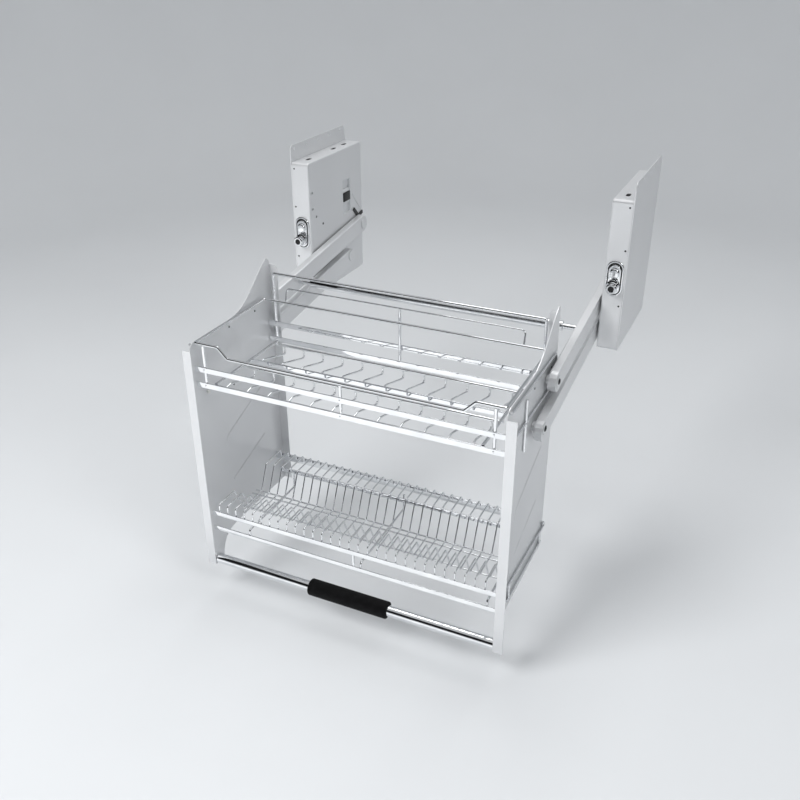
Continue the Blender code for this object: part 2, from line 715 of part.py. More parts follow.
def arm(side, drop, far_bore):
    """A flat oval tube from the housing pivot, at its origin, to the carriage's pin."""
    radius = ARM_HEIGHT / 2
    near_end, far_end = (0, -drop), (-ARM_LENGTH, -drop)
    body = side_prism(stadium(near_end, far_end, radius), side, ARM_INNER, ARM_OUTER, ARM_EDGE, 2)
    wall = ARM_WALL
    inside = stadium(near_end, far_end, radius - wall, CORNER_STEPS + 1)
    hollow = side_prism(inside, side, ARM_INNER + wall, ARM_OUTER - wall)
    ends = sorted(side * x for x in (ARM_INNER - CUT_OVERRUN, ARM_OUTER + CUT_OVERRUN))
    bores = [
        cylinder((0, 0), 0, PIVOT_RADIUS + FIT_GAP, *ends, steps=PIN_STEPS),
        cylinder((-ARM_LENGTH, 0), 0, far_bore, *ends, steps=PIN_STEPS),
    ]
    return cut(body, together(bores), hollow)


def arm_shaft(side):
    """A pivot shaft that turns with its arm, with a flat head inside the arm."""
    head_far = ARM_INNER - FIT_GAP
    head = side_prism(circle((0, 0), PIVOT_HEAD_RADIUS), side, head_far - PIVOT_HEAD, head_far)
    outline = circle((0, 0), PIVOT_RADIUS, PIN_STEPS)
    shaft = side_prism(outline, side, head_far - PIVOT_HEAD / 2, ARM_INNER + PIVOT_REACH)
    return join(head, shaft)


def cross_tube():
    """The tube that keeps both upper arms in step, open at its ends."""
    half = TUBE_HALF_LENGTH
    tube = cylinder((0, 0), 0, TUBE_RADIUS, -half, half, steps=ROUND_STEPS)
    reach = half + CUT_OVERRUN
    return cut(tube, cylinder((0, 0), 0, SPIGOT_RADIUS + FIT_GAP, -reach, reach, steps=PIN_STEPS))


def tube_spigot(side):
    """A thinner end piece, fixed to the arm and pushed into the tube."""
    ends = (TUBE_HALF_LENGTH - SPIGOT_INSERT, ARM_INNER - FIT_GAP)
    return side_prism(circle((0, 0), SPIGOT_RADIUS, PIN_STEPS), side, *ends)


def panel_outline():
    """The side panel's outline: round front top corner, ear at the back, swept foot at the front."""
    outline = arc((PANEL_CORNER, PANEL_TOP - PANEL_CORNER), PANEL_CORNER, 180, 90)
    level = (PANEL_LEVEL, PANEL_TOP)
    ear = (PANEL_DEPTH - EAR_CORNER, EAR_TOP)
    outline += bezier(
        level,
        (level[0] + EAR_PULL_LOW, level[1]),
        (ear[0] - EAR_PULL_HIGH, ear[1] - EAR_HIGH_DROP),
        ear,
    )
    outline += arc((ear[0], ear[1] - EAR_CORNER), EAR_CORNER, 90, 0, CORNER_STEPS)[1:]
    outline.append((PANEL_DEPTH, PANEL_BOTTOM))
    foot = (FOOT_DEPTH, STRIP_BOTTOM)
    sweep = (FOOT_SWEEP, PANEL_BOTTOM)
    outline += bezier(
        sweep,
        (sweep[0] - FOOT_PULL_BACK, sweep[1]),
        (foot[0] + FOOT_PULL_FRONT, foot[1] + FOOT_PULL_RISE),
        foot,
    )
    outline.append((0, STRIP_BOTTOM))
    return outline


def side_panel(side):
    """A sheet panel with an outward front strip, an inward rear flange and two pressed beads."""
    sheet = PANEL_SHEET
    panel = side_prism(panel_outline(), side, PANEL_INNER, PANEL_OUTER)
    strip_top = PANEL_TOP - PANEL_CORNER
    strip = side_box(
        side, PANEL_INNER, PANEL_INNER + STRIP_WIDTH, (0, STRIP_BOTTOM), (sheet, strip_top)
    )
    corner = REAR_FLANGE_CORNER
    near = side * (PANEL_OUTER - REAR_FLANGE_WIDTH)
    far = side * PANEL_OUTER
    centre = (near + side * corner, REAR_FLANGE_TOP - corner)
    turn = 90 + 90 * side
    flange = [(far, PANEL_BOTTOM), (far, REAR_FLANGE_TOP)]
    flange += arc(centre, corner, 90, turn)
    flange.append((near, PANEL_BOTTOM))
    rear = prism(flange, 1, PANEL_DEPTH - sheet, PANEL_DEPTH)
    panel = join(panel, strip, rear)
    bead_x = side * (PANEL_INNER + BEAD_RADIUS - BEAD_RISE)
    ridges = [
        rods([bent([(bead_x, y, z) for y, z in BEAD_UPPER], BEAD_BEND)], BEAD_RADIUS, ROD_SIDES),
        rods([[(bead_x, y, z) for y, z in BEAD_LOWER]], BEAD_RADIUS, ROD_SIDES),
    ]
    trim = side_box(
        side,
        PANEL_OUTER - sheet / 2,
        PANEL_OUTER + 2 * BEAD_RADIUS,
        (0, PANEL_BOTTOM),
        (PANEL_DEPTH, PANEL_TOP),
    )
    return join(panel, cut(together(ridges), trim))


def carriage_pin(side, place):
    """A pin with a collar on the panel's outer face, through the arm's bore to its head."""
    foot = PANEL_OUTER + FIT_GAP
    collar_end = ARM_INNER - FIT_GAP
    outer = ARM_OUTER + FIT_GAP
    collar = side_prism(circle(place, PIN_COLLAR_RADIUS, PIN_STEPS), side, foot, collar_end)
    shank_ends = (collar_end - FIT_GAP, outer + PIN_HEAD / 2)
    shank = side_prism(circle(place, PIN_RADIUS, PIN_STEPS), side, *shank_ends)
    head = side_prism(circle(place, PIN_HEAD_RADIUS), side, outer, outer + PIN_HEAD)
    return join(shank, head, collar)


def flat_bar(y, top, half, height=FLAT_BAR_HEIGHT):
    """A flat bar on edge along X."""
    half_sheet = FLAT_BAR_SHEET / 2
    return box((-half, y - half_sheet, top - height), (half, y + half_sheet, top))


def upper_rim():
    """The rim rod, with a dip in its front."""
    half = BASKET_HALF_WIDTH - ROD_RADIUS
    dip = RIM_DIP_HALF
    low = RIM_HEIGHT - RIM_DIP
    path = [
        (half, RIM_BACK, RIM_HEIGHT),
        (half, RIM_FRONT, RIM_HEIGHT),
        (dip + RIM_DIP_RUN, RIM_FRONT, RIM_HEIGHT),
        (dip, RIM_FRONT, low),
        (-dip, RIM_FRONT, low),
        (-dip - RIM_DIP_RUN, RIM_FRONT, RIM_HEIGHT),
        (-half, RIM_FRONT, RIM_HEIGHT),
        (-half, RIM_BACK, RIM_HEIGHT),
    ]
    start = (0, RIM_BACK, RIM_HEIGHT)
    return rods([bent([start, *path, start], RIM_BEND)[:-1]], ROD_RADIUS, ROD_SIDES, closed=True)


def basket_front():
    """Two flat bars on three upright rods."""
    half = PANEL_INNER - FIT_GAP
    bars = together([flat_bar(FRONT_BAR_Y, top, half) for top in BASKET_FRONT_BARS])
    y = FRONT_BAR_Y + ROD_RADIUS
    top = RIM_HEIGHT - ROD_RADIUS - FIT_GAP
    foot = FLOOR_HEIGHT + ROD_RADIUS + FIT_GAP
    middle_top = top - RIM_DIP
    uprights = [
        [(-UPRIGHT_HALF, y, foot), (-UPRIGHT_HALF, y, top)],
        [(0, y, foot), (0, y, middle_top)],
        [(UPRIGHT_HALF, y, foot), (UPRIGHT_HALF, y, top)],
    ]
    return join(bars, rods(uprights, ROD_RADIUS, ROD_SIDES))


def basket_back():
    """Two flat bars, and the tall guard hoop behind them."""
    half = PANEL_INNER - FIT_GAP
    bars = together([flat_bar(REAR_BAR_Y, top, half) for top in BASKET_REAR_BARS])
    y = REAR_BAR_Y + ROD_RADIUS
    wide = GUARD_HALF_WIDTH
    hoop = [(-wide, y, GUARD_FOOT), (-wide, y, GUARD_TOP), (wide, y, GUARD_TOP), (wide, y, GUARD_FOOT)]
    return join(bars, rods([bent(hoop, GUARD_BEND)], ROD_RADIUS, ROD_SIDES))


def inner_guard():
    """A low hoop that leans back from the rim, with a middle post in front of the rear bars."""
    back = REAR_BAR_Y - FLAT_BAR_SHEET / 2 - ROD_RADIUS - FIT_GAP
    front = RIM_BACK + ROD_RADIUS + WIRE_RADIUS + FIT_GAP
    wide = INNER_GUARD_HALF
    top = INNER_GUARD_TOP
    foot = RIM_HEIGHT - ROD_RADIUS
    hoop = [(-wide, front, foot), (-wide, back, top), (wide, back, top), (wide, front, foot)]
    post = [(0, back, FLOOR_HEIGHT), (0, back, top)]
    return join(rods([post], ROD_RADIUS, ROD_SIDES), rods([bent(hoop, ROD_BEND)], WIRE_RADIUS))


def basket_floor():
    """A frame of rods and a bar on edge, with two rows of bent cup wires."""
    half = FLOOR_HALF_WIDTH
    z = FLOOR_HEIGHT
    reach = half + ROD_RADIUS
    along = [[(-reach, y, z), (reach, y, z)] for y in (FLOOR_BACK, FLOOR_MIDDLE, FLOOR_FRONT)]
    height = z + 2 * ROD_RADIUS - WELD_SINK
    front, back = FLOOR_FRONT - ROD_RADIUS, FLOOR_BACK + ROD_RADIUS
    across = [[(x, front, height), (x, back, height)] for x in (-half, half)]
    frame = join(rods(along, ROD_RADIUS, ROD_SIDES), rods(across, ROD_RADIUS, ROD_SIDES))
    frame = join(frame, flat_bar(REST_BAR, REST_BAR_TOP, half))
    wires = []
    first = -CUP_WIRE_PITCH * (CUP_WIRE_COUNT - 1) / 2
    for row in (FLOOR_BACK, FLOOR_MIDDLE):
        for count in range(CUP_WIRE_COUNT):
            x = first + count * CUP_WIRE_PITCH
            heel = (row + CUP_DROP_BACK, z - CUP_DROP)
            peak = (heel[0] - CUP_RUN, heel[1] + CUP_RISE)
            hook = (peak[0] - CUP_HOOK, peak[1] - CUP_HOOK_DROP)
            wires.append(bent([(x, row, z), (x, *heel), (x, *peak), (x, *hook)], CUP_BEND, 1))
    return join(frame, rods(wires, WIRE_RADIUS))


def plate_wire_places():
    """Where the plate wires stand along X."""
    return [PLATE_WIRE_FIRST + count * PLATE_WIRE_PITCH for count in range(PLATE_WIRE_COUNT)]


def rod_under_floor(y, gap):
    """A rod from panel to panel under the plate wires' floor."""
    reach = PANEL_INNER - FIT_GAP
    z = PLATE_FLOOR - THIN_WIRE_RADIUS - WIRE_RADIUS - gap
    return rods([[(-reach, y, z), (reach, y, z)]], WIRE_RADIUS)


def plate_comb():
    """The plate wires' rear: over the rear bar, down to the heel and forward, on a rod."""
    butt = PLATE_BUTT + FIT_GAP
    corners = [PLATE_TAIL, PLATE_PEAK, PLATE_SHOULDER, (PLATE_HEEL, PLATE_FLOOR), (butt, PLATE_FLOOR)]
    wires = [[(x, *corner) for corner in corners] for x in plate_wire_places()]
    return join(rod_under_floor(COMB_ROD, -WELD_SINK), rods(wires, THIN_WIRE_RADIUS, THIN_WIRE_SIDES))


def plate_upstands():
    """The plate wires' front: up from the foot rod to a peak, level to the front, and down."""
    y, z = UPSTAND_FRONT
    corners = [
        (PLATE_BUTT, PLATE_FLOOR),
        (PLATE_FOOT, PLATE_FLOOR),
        UPSTAND_PEAK,
        (y + UPSTAND_BEND, z),
        (y, z - UPSTAND_BEND),
        (y, UPSTAND_END),
    ]
    wires = [[(x, *corner) for corner in corners] for x in plate_wire_places()]
    return join(rod_under_floor(FOOT_ROD, -WELD_SINK), rods(wires, THIN_WIRE_RADIUS, THIN_WIRE_SIDES))


def plate_frame():
    """The rod that carries the plate wires' heels."""
    return rod_under_floor(HEEL_ROD, FIT_GAP)


def shelf_bar_front():
    """A flat bar under the plate wires' shoulders."""
    top = PLATE_SHOULDER[1] - THIN_WIRE_RADIUS - FIT_GAP
    return flat_bar(SHELF_FRONT_Y, top, SHELF_FRONT_HALF, SHELF_FRONT_HEIGHT)


def shelf_bar_rear():
    """A flat bar behind the plate wires' tails."""
    return flat_bar(SHELF_REAR_Y, SHELF_REAR_TOP, PANEL_INNER - FIT_GAP, SHELF_REAR_HEIGHT)


def rack_front():
    """Two flat bars across the front, tied by a short rod, with braces running back."""
    half = PANEL_INNER - FIT_GAP
    height = RACK_BAR_HEIGHT
    bars = together([flat_bar(FRONT_BAR_Y, top, half, height) for top in RACK_BAR_TOPS])
    y = FRONT_BAR_Y + ROD_RADIUS
    high = RACK_BAR_TOPS[0] - height * THIRD_SHARE
    low = RACK_BAR_TOPS[1] - height + height * THIRD_SHARE
    link = [(RACK_LINK, y, high), (RACK_LINK, y, low)]
    front_y = FRONT_BAR_Y + FLAT_BAR_SHEET / 2 + BRACE_RADIUS - WELD_SINK
    braces = []
    for x, knee in BRACES:
        places = ((knee, BRACE_TOP), (knee, BRACE_KNEE), (front_y, BRACE_FRONT), (front_y, BRACE_END))
        braces.append(bent([(x, *place) for place in places], BRACE_BEND, 1))
    return join(bars, rods([link], ROD_RADIUS, ROD_SIDES), rods(braces, BRACE_RADIUS))


def outer_path(side, places):
    """A path on the outer face of a side panel."""
    x = side * (PANEL_OUTER + FIT_GAP + OUTER_ROD_RADIUS)
    return bent([(x, y, z) for y, z in places], OUTER_BEND, 1)


def upper_rail(side):
    """A rod over the panel's round front corner and back along its outer face."""
    return rods([outer_path(side, UPPER_RAIL)], OUTER_ROD_RADIUS)


def middle_rail(side):
    """A level rod and an upright one across it."""
    level, upright = (rods([outer_path(side, places)], OUTER_ROD_RADIUS) for places in MIDDLE_RAIL)
    return join(level, upright)


def lower_rail(side):
    """Two rods along the plate rack's foot, tied by short ones."""
    paths = [rods([outer_path(side, places)], OUTER_ROD_RADIUS) for places in LOWER_RAIL]
    return join(paths[0], *paths[1:])


def handle_tube():
    """The pull tube between the panels."""
    half = PANEL_INNER - FIT_GAP
    return cylinder(HANDLE_PLACE, 0, HANDLE_RADIUS, -half, half)


def handle_grip():
    """A soft sleeve on the pull tube."""
    grip = cylinder(HANDLE_PLACE, 0, GRIP_RADIUS, GRIP_START, GRIP_END, GRIP_EDGE)
    reach = (GRIP_START - CUT_OVERRUN, GRIP_END + CUT_OVERRUN)
    return cut(grip, cylinder(HANDLE_PLACE, 0, HANDLE_RADIUS + FIT_GAP, *reach))


def build():
    """Builds every piece on its body."""
    clear_scene()
    grey = material("grey_painted_steel", (0.55, 0.56, 0.57), 0.4, 0.3)
    chrome = material("chrome", (0.8, 0.8, 0.8), 0.12, 1)
    black = material("black_plastic", (0.02, 0.02, 0.02), 0.45, 0)
    tray_grey = material("grey_plastic", (0.35, 0.36, 0.37), 0.5, 0)
    foam = material("black_foam", (0.015, 0.015, 0.015), 0.8, 0)
    steel = material("zinc_steel", (0.5, 0.5, 0.5), 0.35, 1)

    upper_place = (0, *UPPER_PIVOT)
    lower_place = (0, *LOWER_PIVOT)
    lift = pivot_empty("lift_axis", upper_place)
    carriage = pivot_empty("carriage_axis", Vector(CARRIAGE_HOME) + Vector((0, *UPPER_PIN)))

    for name, side in SIDES.items():
        finish(wall_plate(side), f"wall_plate_{name}", grey)
        finish(housing_cover(side), f"housing_cover_{name}", grey)
        finish(front_plate(side), f"front_plate_{name}", chrome)
        boss_place = (side * boss_from_middle(), 0, BOSS_HEIGHT)
        finish(adjuster_boss(side), f"adjuster_boss_{name}", chrome, home=boss_place)
        finish(slider_tray(side), f"slider_tray_{name}", tray_grey)
        finish(force_slider(side), f"force_slider_{name}", black)
        finish(arm_stop(side), f"arm_stop_{name}", black)
        finish(pivot_disc(side), f"pivot_disc_{name}", grey)
        finish(lift_spring(side), f"lift_spring_{name}", steel)
        finish(damper_can(side), f"damper_can_{name}", black)

        upper = finish(arm(side, 0, PIN_RADIUS + PIN_CLEARANCE), f"upper_arm_{name}", grey, lift, upper_place)
        upper.rotation_euler.x = ARM_REST
        finish(arm_shaft(side), f"lift_shaft_{name}", steel, lift, upper_place)
        open_bore = PIN_RADIUS + OPEN_PIVOT_CLEARANCE
        lower = finish(arm(side, ARM_DROP, open_bore), f"lower_arm_{name}", grey, home=lower_place)
        lower.rotation_euler.x = ARM_REST
        finish(arm_shaft(side), f"damper_shaft_{name}", steel, home=lower_place)

        spot = polar((0, 0), TUBE_ALONG_ARM, 180 + ARM_REST_DEGREES)
        tube_place = (0, UPPER_PIVOT[0] + spot[0], UPPER_PIVOT[1] + spot[1])
        finish(tube_spigot(side), f"tube_spigot_{name}", chrome, lift, tube_place)

        finish(side_panel(side), f"side_panel_{name}", grey, carriage, CARRIAGE_HOME)
        finish(carriage_pin(side, UPPER_PIN), f"upper_pin_{name}", chrome, carriage, CARRIAGE_HOME)
        finish(carriage_pin(side, LOWER_PIN), f"lower_pin_{name}", chrome, carriage, CARRIAGE_HOME)
        finish(upper_rail(side), f"upper_rail_{name}", chrome, carriage, CARRIAGE_HOME)
        finish(middle_rail(side), f"middle_rail_{name}", chrome, carriage, CARRIAGE_HOME)
        finish(lower_rail(side), f"lower_rail_{name}", chrome, carriage, CARRIAGE_HOME)

    finish(cross_tube(), "cross_tube", chrome, lift, tube_place)
    finish(upper_rim(), "upper_rim", chrome, carriage, CARRIAGE_HOME)
    finish(basket_front(), "basket_front_bars", chrome, carriage, CARRIAGE_HOME)
    finish(basket_back(), "basket_rear_guard", chrome, carriage, CARRIAGE_HOME)
    finish(inner_guard(), "basket_inner_guard", chrome, carriage, CARRIAGE_HOME)
    finish(basket_floor(), "basket_floor_wires", chrome, carriage, CARRIAGE_HOME)
    finish(plate_comb(), "plate_comb", chrome, carriage, CARRIAGE_HOME)
    finish(plate_upstands(), "plate_upstands", chrome, carriage, CARRIAGE_HOME)
    finish(plate_frame(), "plate_frame", chrome, carriage, CARRIAGE_HOME)
    finish(shelf_bar_front(), "shelf_bar_front", chrome, carriage, CARRIAGE_HOME)
    finish(shelf_bar_rear(), "shelf_bar_rear", chrome, carriage, CARRIAGE_HOME)
    finish(rack_front(), "rack_front_bars", chrome, carriage, CARRIAGE_HOME)
    finish(handle_tube(), "handle_tube", chrome, carriage, CARRIAGE_HOME)
    finish(handle_grip(), "handle_grip", foam, carriage, CARRIAGE_HOME)


build()
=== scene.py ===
"""Looks of the pull-down dish rack: wires, turned parts, fasteners, finishes, studio and camera."""

import json
import math

import bmesh
import bpy
from mathutils import Matrix, Vector


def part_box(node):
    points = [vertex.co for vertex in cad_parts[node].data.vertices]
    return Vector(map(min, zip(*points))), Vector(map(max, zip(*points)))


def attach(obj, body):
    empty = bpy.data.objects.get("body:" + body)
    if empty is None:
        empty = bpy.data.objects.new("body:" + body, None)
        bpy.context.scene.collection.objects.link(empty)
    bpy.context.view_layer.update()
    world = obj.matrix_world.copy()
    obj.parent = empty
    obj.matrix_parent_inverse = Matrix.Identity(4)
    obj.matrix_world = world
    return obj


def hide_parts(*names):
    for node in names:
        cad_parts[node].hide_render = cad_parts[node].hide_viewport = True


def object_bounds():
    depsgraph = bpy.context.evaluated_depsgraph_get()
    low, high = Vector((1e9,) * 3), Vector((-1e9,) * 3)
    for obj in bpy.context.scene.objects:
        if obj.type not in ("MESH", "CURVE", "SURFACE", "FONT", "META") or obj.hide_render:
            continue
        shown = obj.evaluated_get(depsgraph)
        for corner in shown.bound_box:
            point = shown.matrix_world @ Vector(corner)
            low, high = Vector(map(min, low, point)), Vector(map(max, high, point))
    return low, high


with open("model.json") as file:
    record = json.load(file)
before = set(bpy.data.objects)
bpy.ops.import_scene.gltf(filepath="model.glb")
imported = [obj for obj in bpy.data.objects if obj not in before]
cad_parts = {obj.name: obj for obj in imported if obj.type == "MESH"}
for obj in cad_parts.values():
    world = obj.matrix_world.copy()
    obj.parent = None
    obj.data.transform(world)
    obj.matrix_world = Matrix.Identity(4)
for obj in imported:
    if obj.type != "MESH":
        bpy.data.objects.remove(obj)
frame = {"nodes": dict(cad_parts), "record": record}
CAD_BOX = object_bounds()

MILLIMETRE = 0.001
SIDES = {"left": -1, "right": 1}

# Colours as sRGB hex
SILVER_COAT_LIGHT = "#DFE0E1"
SILVER_COAT_DARK = "#D2D3D5"
CHROME_BRIGHT = "#F0F1F2"
CHROME_DULL = "#DCDEE1"
ZINC_LIGHT = "#BFC2C4"
ZINC_DARK = "#8F9396"
BLACK_PLASTIC = "#09090A"
BLACK_PLASTIC_WORN = "#131315"
GREY_PLASTIC = "#8A8C8F"
GREY_PLASTIC_DARK = "#77797C"
FOAM_BLACK = "#070708"
FOAM_DUSTY = "#101011"
FLOOR_LIGHT = "#D2D4D6"
FLOOR_DARK = "#CDCFD1"
NYLON_WHITE = "#E9E9E6"
NYLON_SHADE = "#DADAD6"
OXIDE_BLACK = "#1B1C1E"
OXIDE_RUBBED = "#4A4C4F"
TRAY_GREY = "#DCDEE0"
TRAY_GREY_DARK = "#D2D4D6"
FLAG_BLACK = "#060607"
FLAG_BLACK_LIGHT = "#0B0B0C"
CARD_WHITE = "#F6F7F8"
CARD_SHADE = "#F0F1F2"
ROOM_TONES = ((0.0, "#8E9195"), (0.55, "#5A5D61"), (0.70, "#AEB1B5"), (1.0, "#F2F3F4"))

# Grain sizes of the finishes' patterns, in millimetres
COAT_CLOUD = 200.0
COAT_PEEL = 2.38
DRAW_MARK = 1.11
DRAW_MARK_LENGTH = 37.0
CHROME_PATCH = 45.5
ZINC_CRYSTAL = 2.0
OXIDE_RUB = 1.43
SPARK_PIT = 0.5
PLASTIC_WEAR = 16.7
FOAM_PORE = 0.8
FOAM_DUST = 11.1
PAPER_CLOUD = 500.0
FLAG_CLOUD = 33.3

# Depths of the finishes' relief, in millimetres
COAT_PEEL_DEPTH = 0.01
SPARK_PIT_DEPTH = 0.03
FOAM_PORE_DEPTH = 0.15


def linear(hex_value):
    """The linear colour of an sRGB hex value."""
    colour = []
    for start in (1, 3, 5):
        level = int(hex_value[start:start + 2], 16) / 255
        colour.append(level / 12.92 if level <= 0.04045 else ((level + 0.055) / 1.055) ** 2.4)
    return (*colour, 1.0)


def pattern_scale(grain):
    """A pattern's scale from the size of its grains in millimetres."""
    return 1 / (grain * MILLIMETRE)


def add_node(tree, kind, values=None, links=None, stops=(), **settings):
    """Adds a node with its settings, socket values, incoming links and colour stops."""
    node = tree.nodes.new(kind)
    for name, value in settings.items():
        setattr(node, name, value)
    for socket, value in (values or {}).items():
        node.inputs[socket].default_value = value
    for socket, source in (links or {}).items():
        tree.links.new(source, node.inputs[socket])
    if stops:
        elements = node.color_ramp.elements
        elements.remove(elements[1])
        elements[0].position, elements[0].color = stops[0][0], linear(stops[0][1])
        for position, colour in stops[1:]:
            elements.new(position).color = linear(colour)
    return node


def new_surface(name, **shader_values):
    """A material with its shader's own sockets set, and its object coordinates in metres."""
    surface = bpy.data.materials.new(name)
    surface.use_nodes = True
    tree = surface.node_tree
    shader = tree.nodes["Principled BSDF"]
    for socket, value in shader_values.items():
        shader.inputs[socket.replace("_", " ")].default_value = value
    place = add_node(tree, "ShaderNodeTexCoord").outputs["Object"]
    return surface, tree, shader, place


def powder_coated_steel():
    """Folded steel sheet, sprayed with silver-grey polyester powder and baked."""
    # The eye sees a soft sheen, a little cloudy, and a faint orange peel of real size
    surface, tree, shader, place = new_surface("powder_coated_steel", Metallic=0.45)
    cloud = add_node(
        tree, "ShaderNodeTexNoise",
        {"Scale": pattern_scale(COAT_CLOUD), "Detail": 1.0},
        {"Vector": place},
    )
    tone = add_node(
        tree, "ShaderNodeValToRGB",
        links={"Fac": cloud.outputs["Fac"]},
        stops=((0.0, SILVER_COAT_DARK), (1.0, SILVER_COAT_LIGHT)),
    )
    tree.links.new(tone.outputs["Color"], shader.inputs["Base Color"])
    peel = add_node(
        tree, "ShaderNodeTexNoise",
        {"Scale": pattern_scale(COAT_PEEL), "Detail": 2.0},
        {"Vector": place},
    )
    gloss = add_node(
        tree, "ShaderNodeMapRange",
        {"To Min": 0.29, "To Max": 0.36},
        {"Value": cloud.outputs["Fac"]},
    )
    tree.links.new(gloss.outputs["Result"], shader.inputs["Roughness"])
    bump = add_node(
        tree, "ShaderNodeBump",
        {"Strength": 0.2, "Distance": COAT_PEEL_DEPTH * MILLIMETRE},
        {"Height": peel.outputs["Fac"]},
    )
    tree.links.new(bump.outputs["Normal"], shader.inputs["Normal"])
    return surface


def chromed_drawn_steel():
    """Drawn steel wire, tube and strip, plated with bright chrome."""
    # The eye sees a mirror with black and white lines, a few duller patches and faint draw marks
    # along X. Real draw marks are finer than 0.1 mm, so they are drawn coarser to show at all.
    surface, tree, shader, place = new_surface("chromed_drawn_steel", Metallic=1.0)
    stretch = add_node(
        tree, "ShaderNodeMapping",
        {"Scale": (DRAW_MARK / DRAW_MARK_LENGTH, 1.0, 1.0)},
        {"Vector": place},
    )
    marks = add_node(
        tree, "ShaderNodeTexNoise",
        {"Scale": pattern_scale(DRAW_MARK), "Detail": 3.0},
        {"Vector": stretch.outputs["Vector"]},
    )
    patch = add_node(
        tree, "ShaderNodeTexNoise",
        {"Scale": pattern_scale(CHROME_PATCH), "Detail": 2.0},
        {"Vector": place},
    )
    tone = add_node(
        tree, "ShaderNodeValToRGB",
        links={"Fac": patch.outputs["Fac"]},
        stops=((0.2, CHROME_DULL), (0.8, CHROME_BRIGHT)),
    )
    tree.links.new(tone.outputs["Color"], shader.inputs["Base Color"])
    gloss = add_node(
        tree, "ShaderNodeMapRange",
        {"From Min": 0.2, "From Max": 0.8, "To Min": 0.03, "To Max": 0.1},
        {"Value": marks.outputs["Fac"]},
    )
    tree.links.new(gloss.outputs["Result"], shader.inputs["Roughness"])
    return surface


def zinc_plated_steel():
    """Turned steel, zinc plated and clear passivated."""
    # The eye sees a dull grey metal with a crystal mottle. The real crystals are about 0.1 mm,
    # so they are drawn coarser to show.
    surface, tree, shader, place = new_surface("zinc_plated_steel", Metallic=1.0, Roughness=0.35)
    crystals = add_node(
        tree, "ShaderNodeTexVoronoi",
        {"Scale": pattern_scale(ZINC_CRYSTAL), "Randomness": 1.0},
        {"Vector": place},
    )
    tone = add_node(
        tree, "ShaderNodeValToRGB",
        links={"Fac": crystals.outputs["Distance"]},
        stops=((0.1, ZINC_DARK), (0.8, ZINC_LIGHT)),
    )
    tree.links.new(tone.outputs["Color"], shader.inputs["Base Color"])
    gloss = add_node(
        tree, "ShaderNodeMapRange",
        {"To Min": 0.28, "To Max": 0.45},
        {"Value": crystals.outputs["Distance"]},
    )
    tree.links.new(gloss.outputs["Result"], shader.inputs["Roughness"])
    return surface


def blackened_steel():
    """Steel screws and rivets, blackened in an oxide bath."""
    # The eye sees a satin near-black with lighter places where drivers have rubbed it
    surface, tree, shader, place = new_surface("blackened_steel", Metallic=0.6, Roughness=0.45)
    rub = add_node(
        tree, "ShaderNodeTexNoise",
        {"Scale": pattern_scale(OXIDE_RUB), "Detail": 2.0},
        {"Vector": place},
    )
    tone = add_node(
        tree, "ShaderNodeValToRGB",
        links={"Fac": rub.outputs["Fac"]},
        stops=((0.4, OXIDE_BLACK), (0.8, OXIDE_RUBBED)),
    )
    tree.links.new(tone.outputs["Color"], shader.inputs["Base Color"])
    return surface


def moulded_plastic(name, base, worn, roughness):
    """ABS or nylon, injection moulded in a spark-eroded mould."""
    # The eye sees a satin skin with fine pits and slightly worn patches. The real pits are
    # finer than 0.1 mm, so they are drawn coarser to show.
    surface, tree, shader, place = new_surface(name, Roughness=roughness, IOR=1.54)
    pits = add_node(
        tree, "ShaderNodeTexNoise",
        {"Scale": pattern_scale(SPARK_PIT), "Detail": 2.0},
        {"Vector": place},
    )
    wear = add_node(
        tree, "ShaderNodeTexNoise",
        {"Scale": pattern_scale(PLASTIC_WEAR), "Detail": 3.0},
        {"Vector": place},
    )
    tone = add_node(
        tree, "ShaderNodeValToRGB",
        links={"Fac": wear.outputs["Fac"]},
        stops=((0.45, base), (0.8, worn)),
    )
    tree.links.new(tone.outputs["Color"], shader.inputs["Base Color"])
    bump = add_node(
        tree, "ShaderNodeBump",
        {"Strength": 0.5, "Distance": SPARK_PIT_DEPTH * MILLIMETRE},
        {"Height": pits.outputs["Fac"]},
    )
    tree.links.new(bump.outputs["Normal"], shader.inputs["Normal"])
    return surface


def closed_cell_foam():
    """Closed-cell foam rubber, blown and skived to a sleeve."""
    # The eye sees a matt black with open pores and a little dust. The real pores are about
    # 0.3 mm, so they are drawn coarser to show.
    surface, tree, shader, place = new_surface("closed_cell_foam", Roughness=0.7, IOR=1.25)
    pores = add_node(
        tree, "ShaderNodeTexVoronoi",
        {"Scale": pattern_scale(FOAM_PORE)},
        {"Vector": place},
    )
    dust = add_node(
        tree, "ShaderNodeTexNoise",
        {"Scale": pattern_scale(FOAM_DUST), "Detail": 3.0},
        {"Vector": place},
    )
    tone = add_node(
        tree, "ShaderNodeValToRGB",
        links={"Fac": dust.outputs["Fac"]},
        stops=((0.4, FOAM_BLACK), (0.75, FOAM_DUSTY)),
    )
    tree.links.new(tone.outputs["Color"], shader.inputs["Base Color"])
    bump = add_node(
        tree, "ShaderNodeBump",
        {"Strength": 0.7, "Distance": FOAM_PORE_DEPTH * MILLIMETRE},
        {"Height": pores.outputs["Distance"]},
    )
    tree.links.new(bump.outputs["Normal"], shader.inputs["Normal"])
    return surface


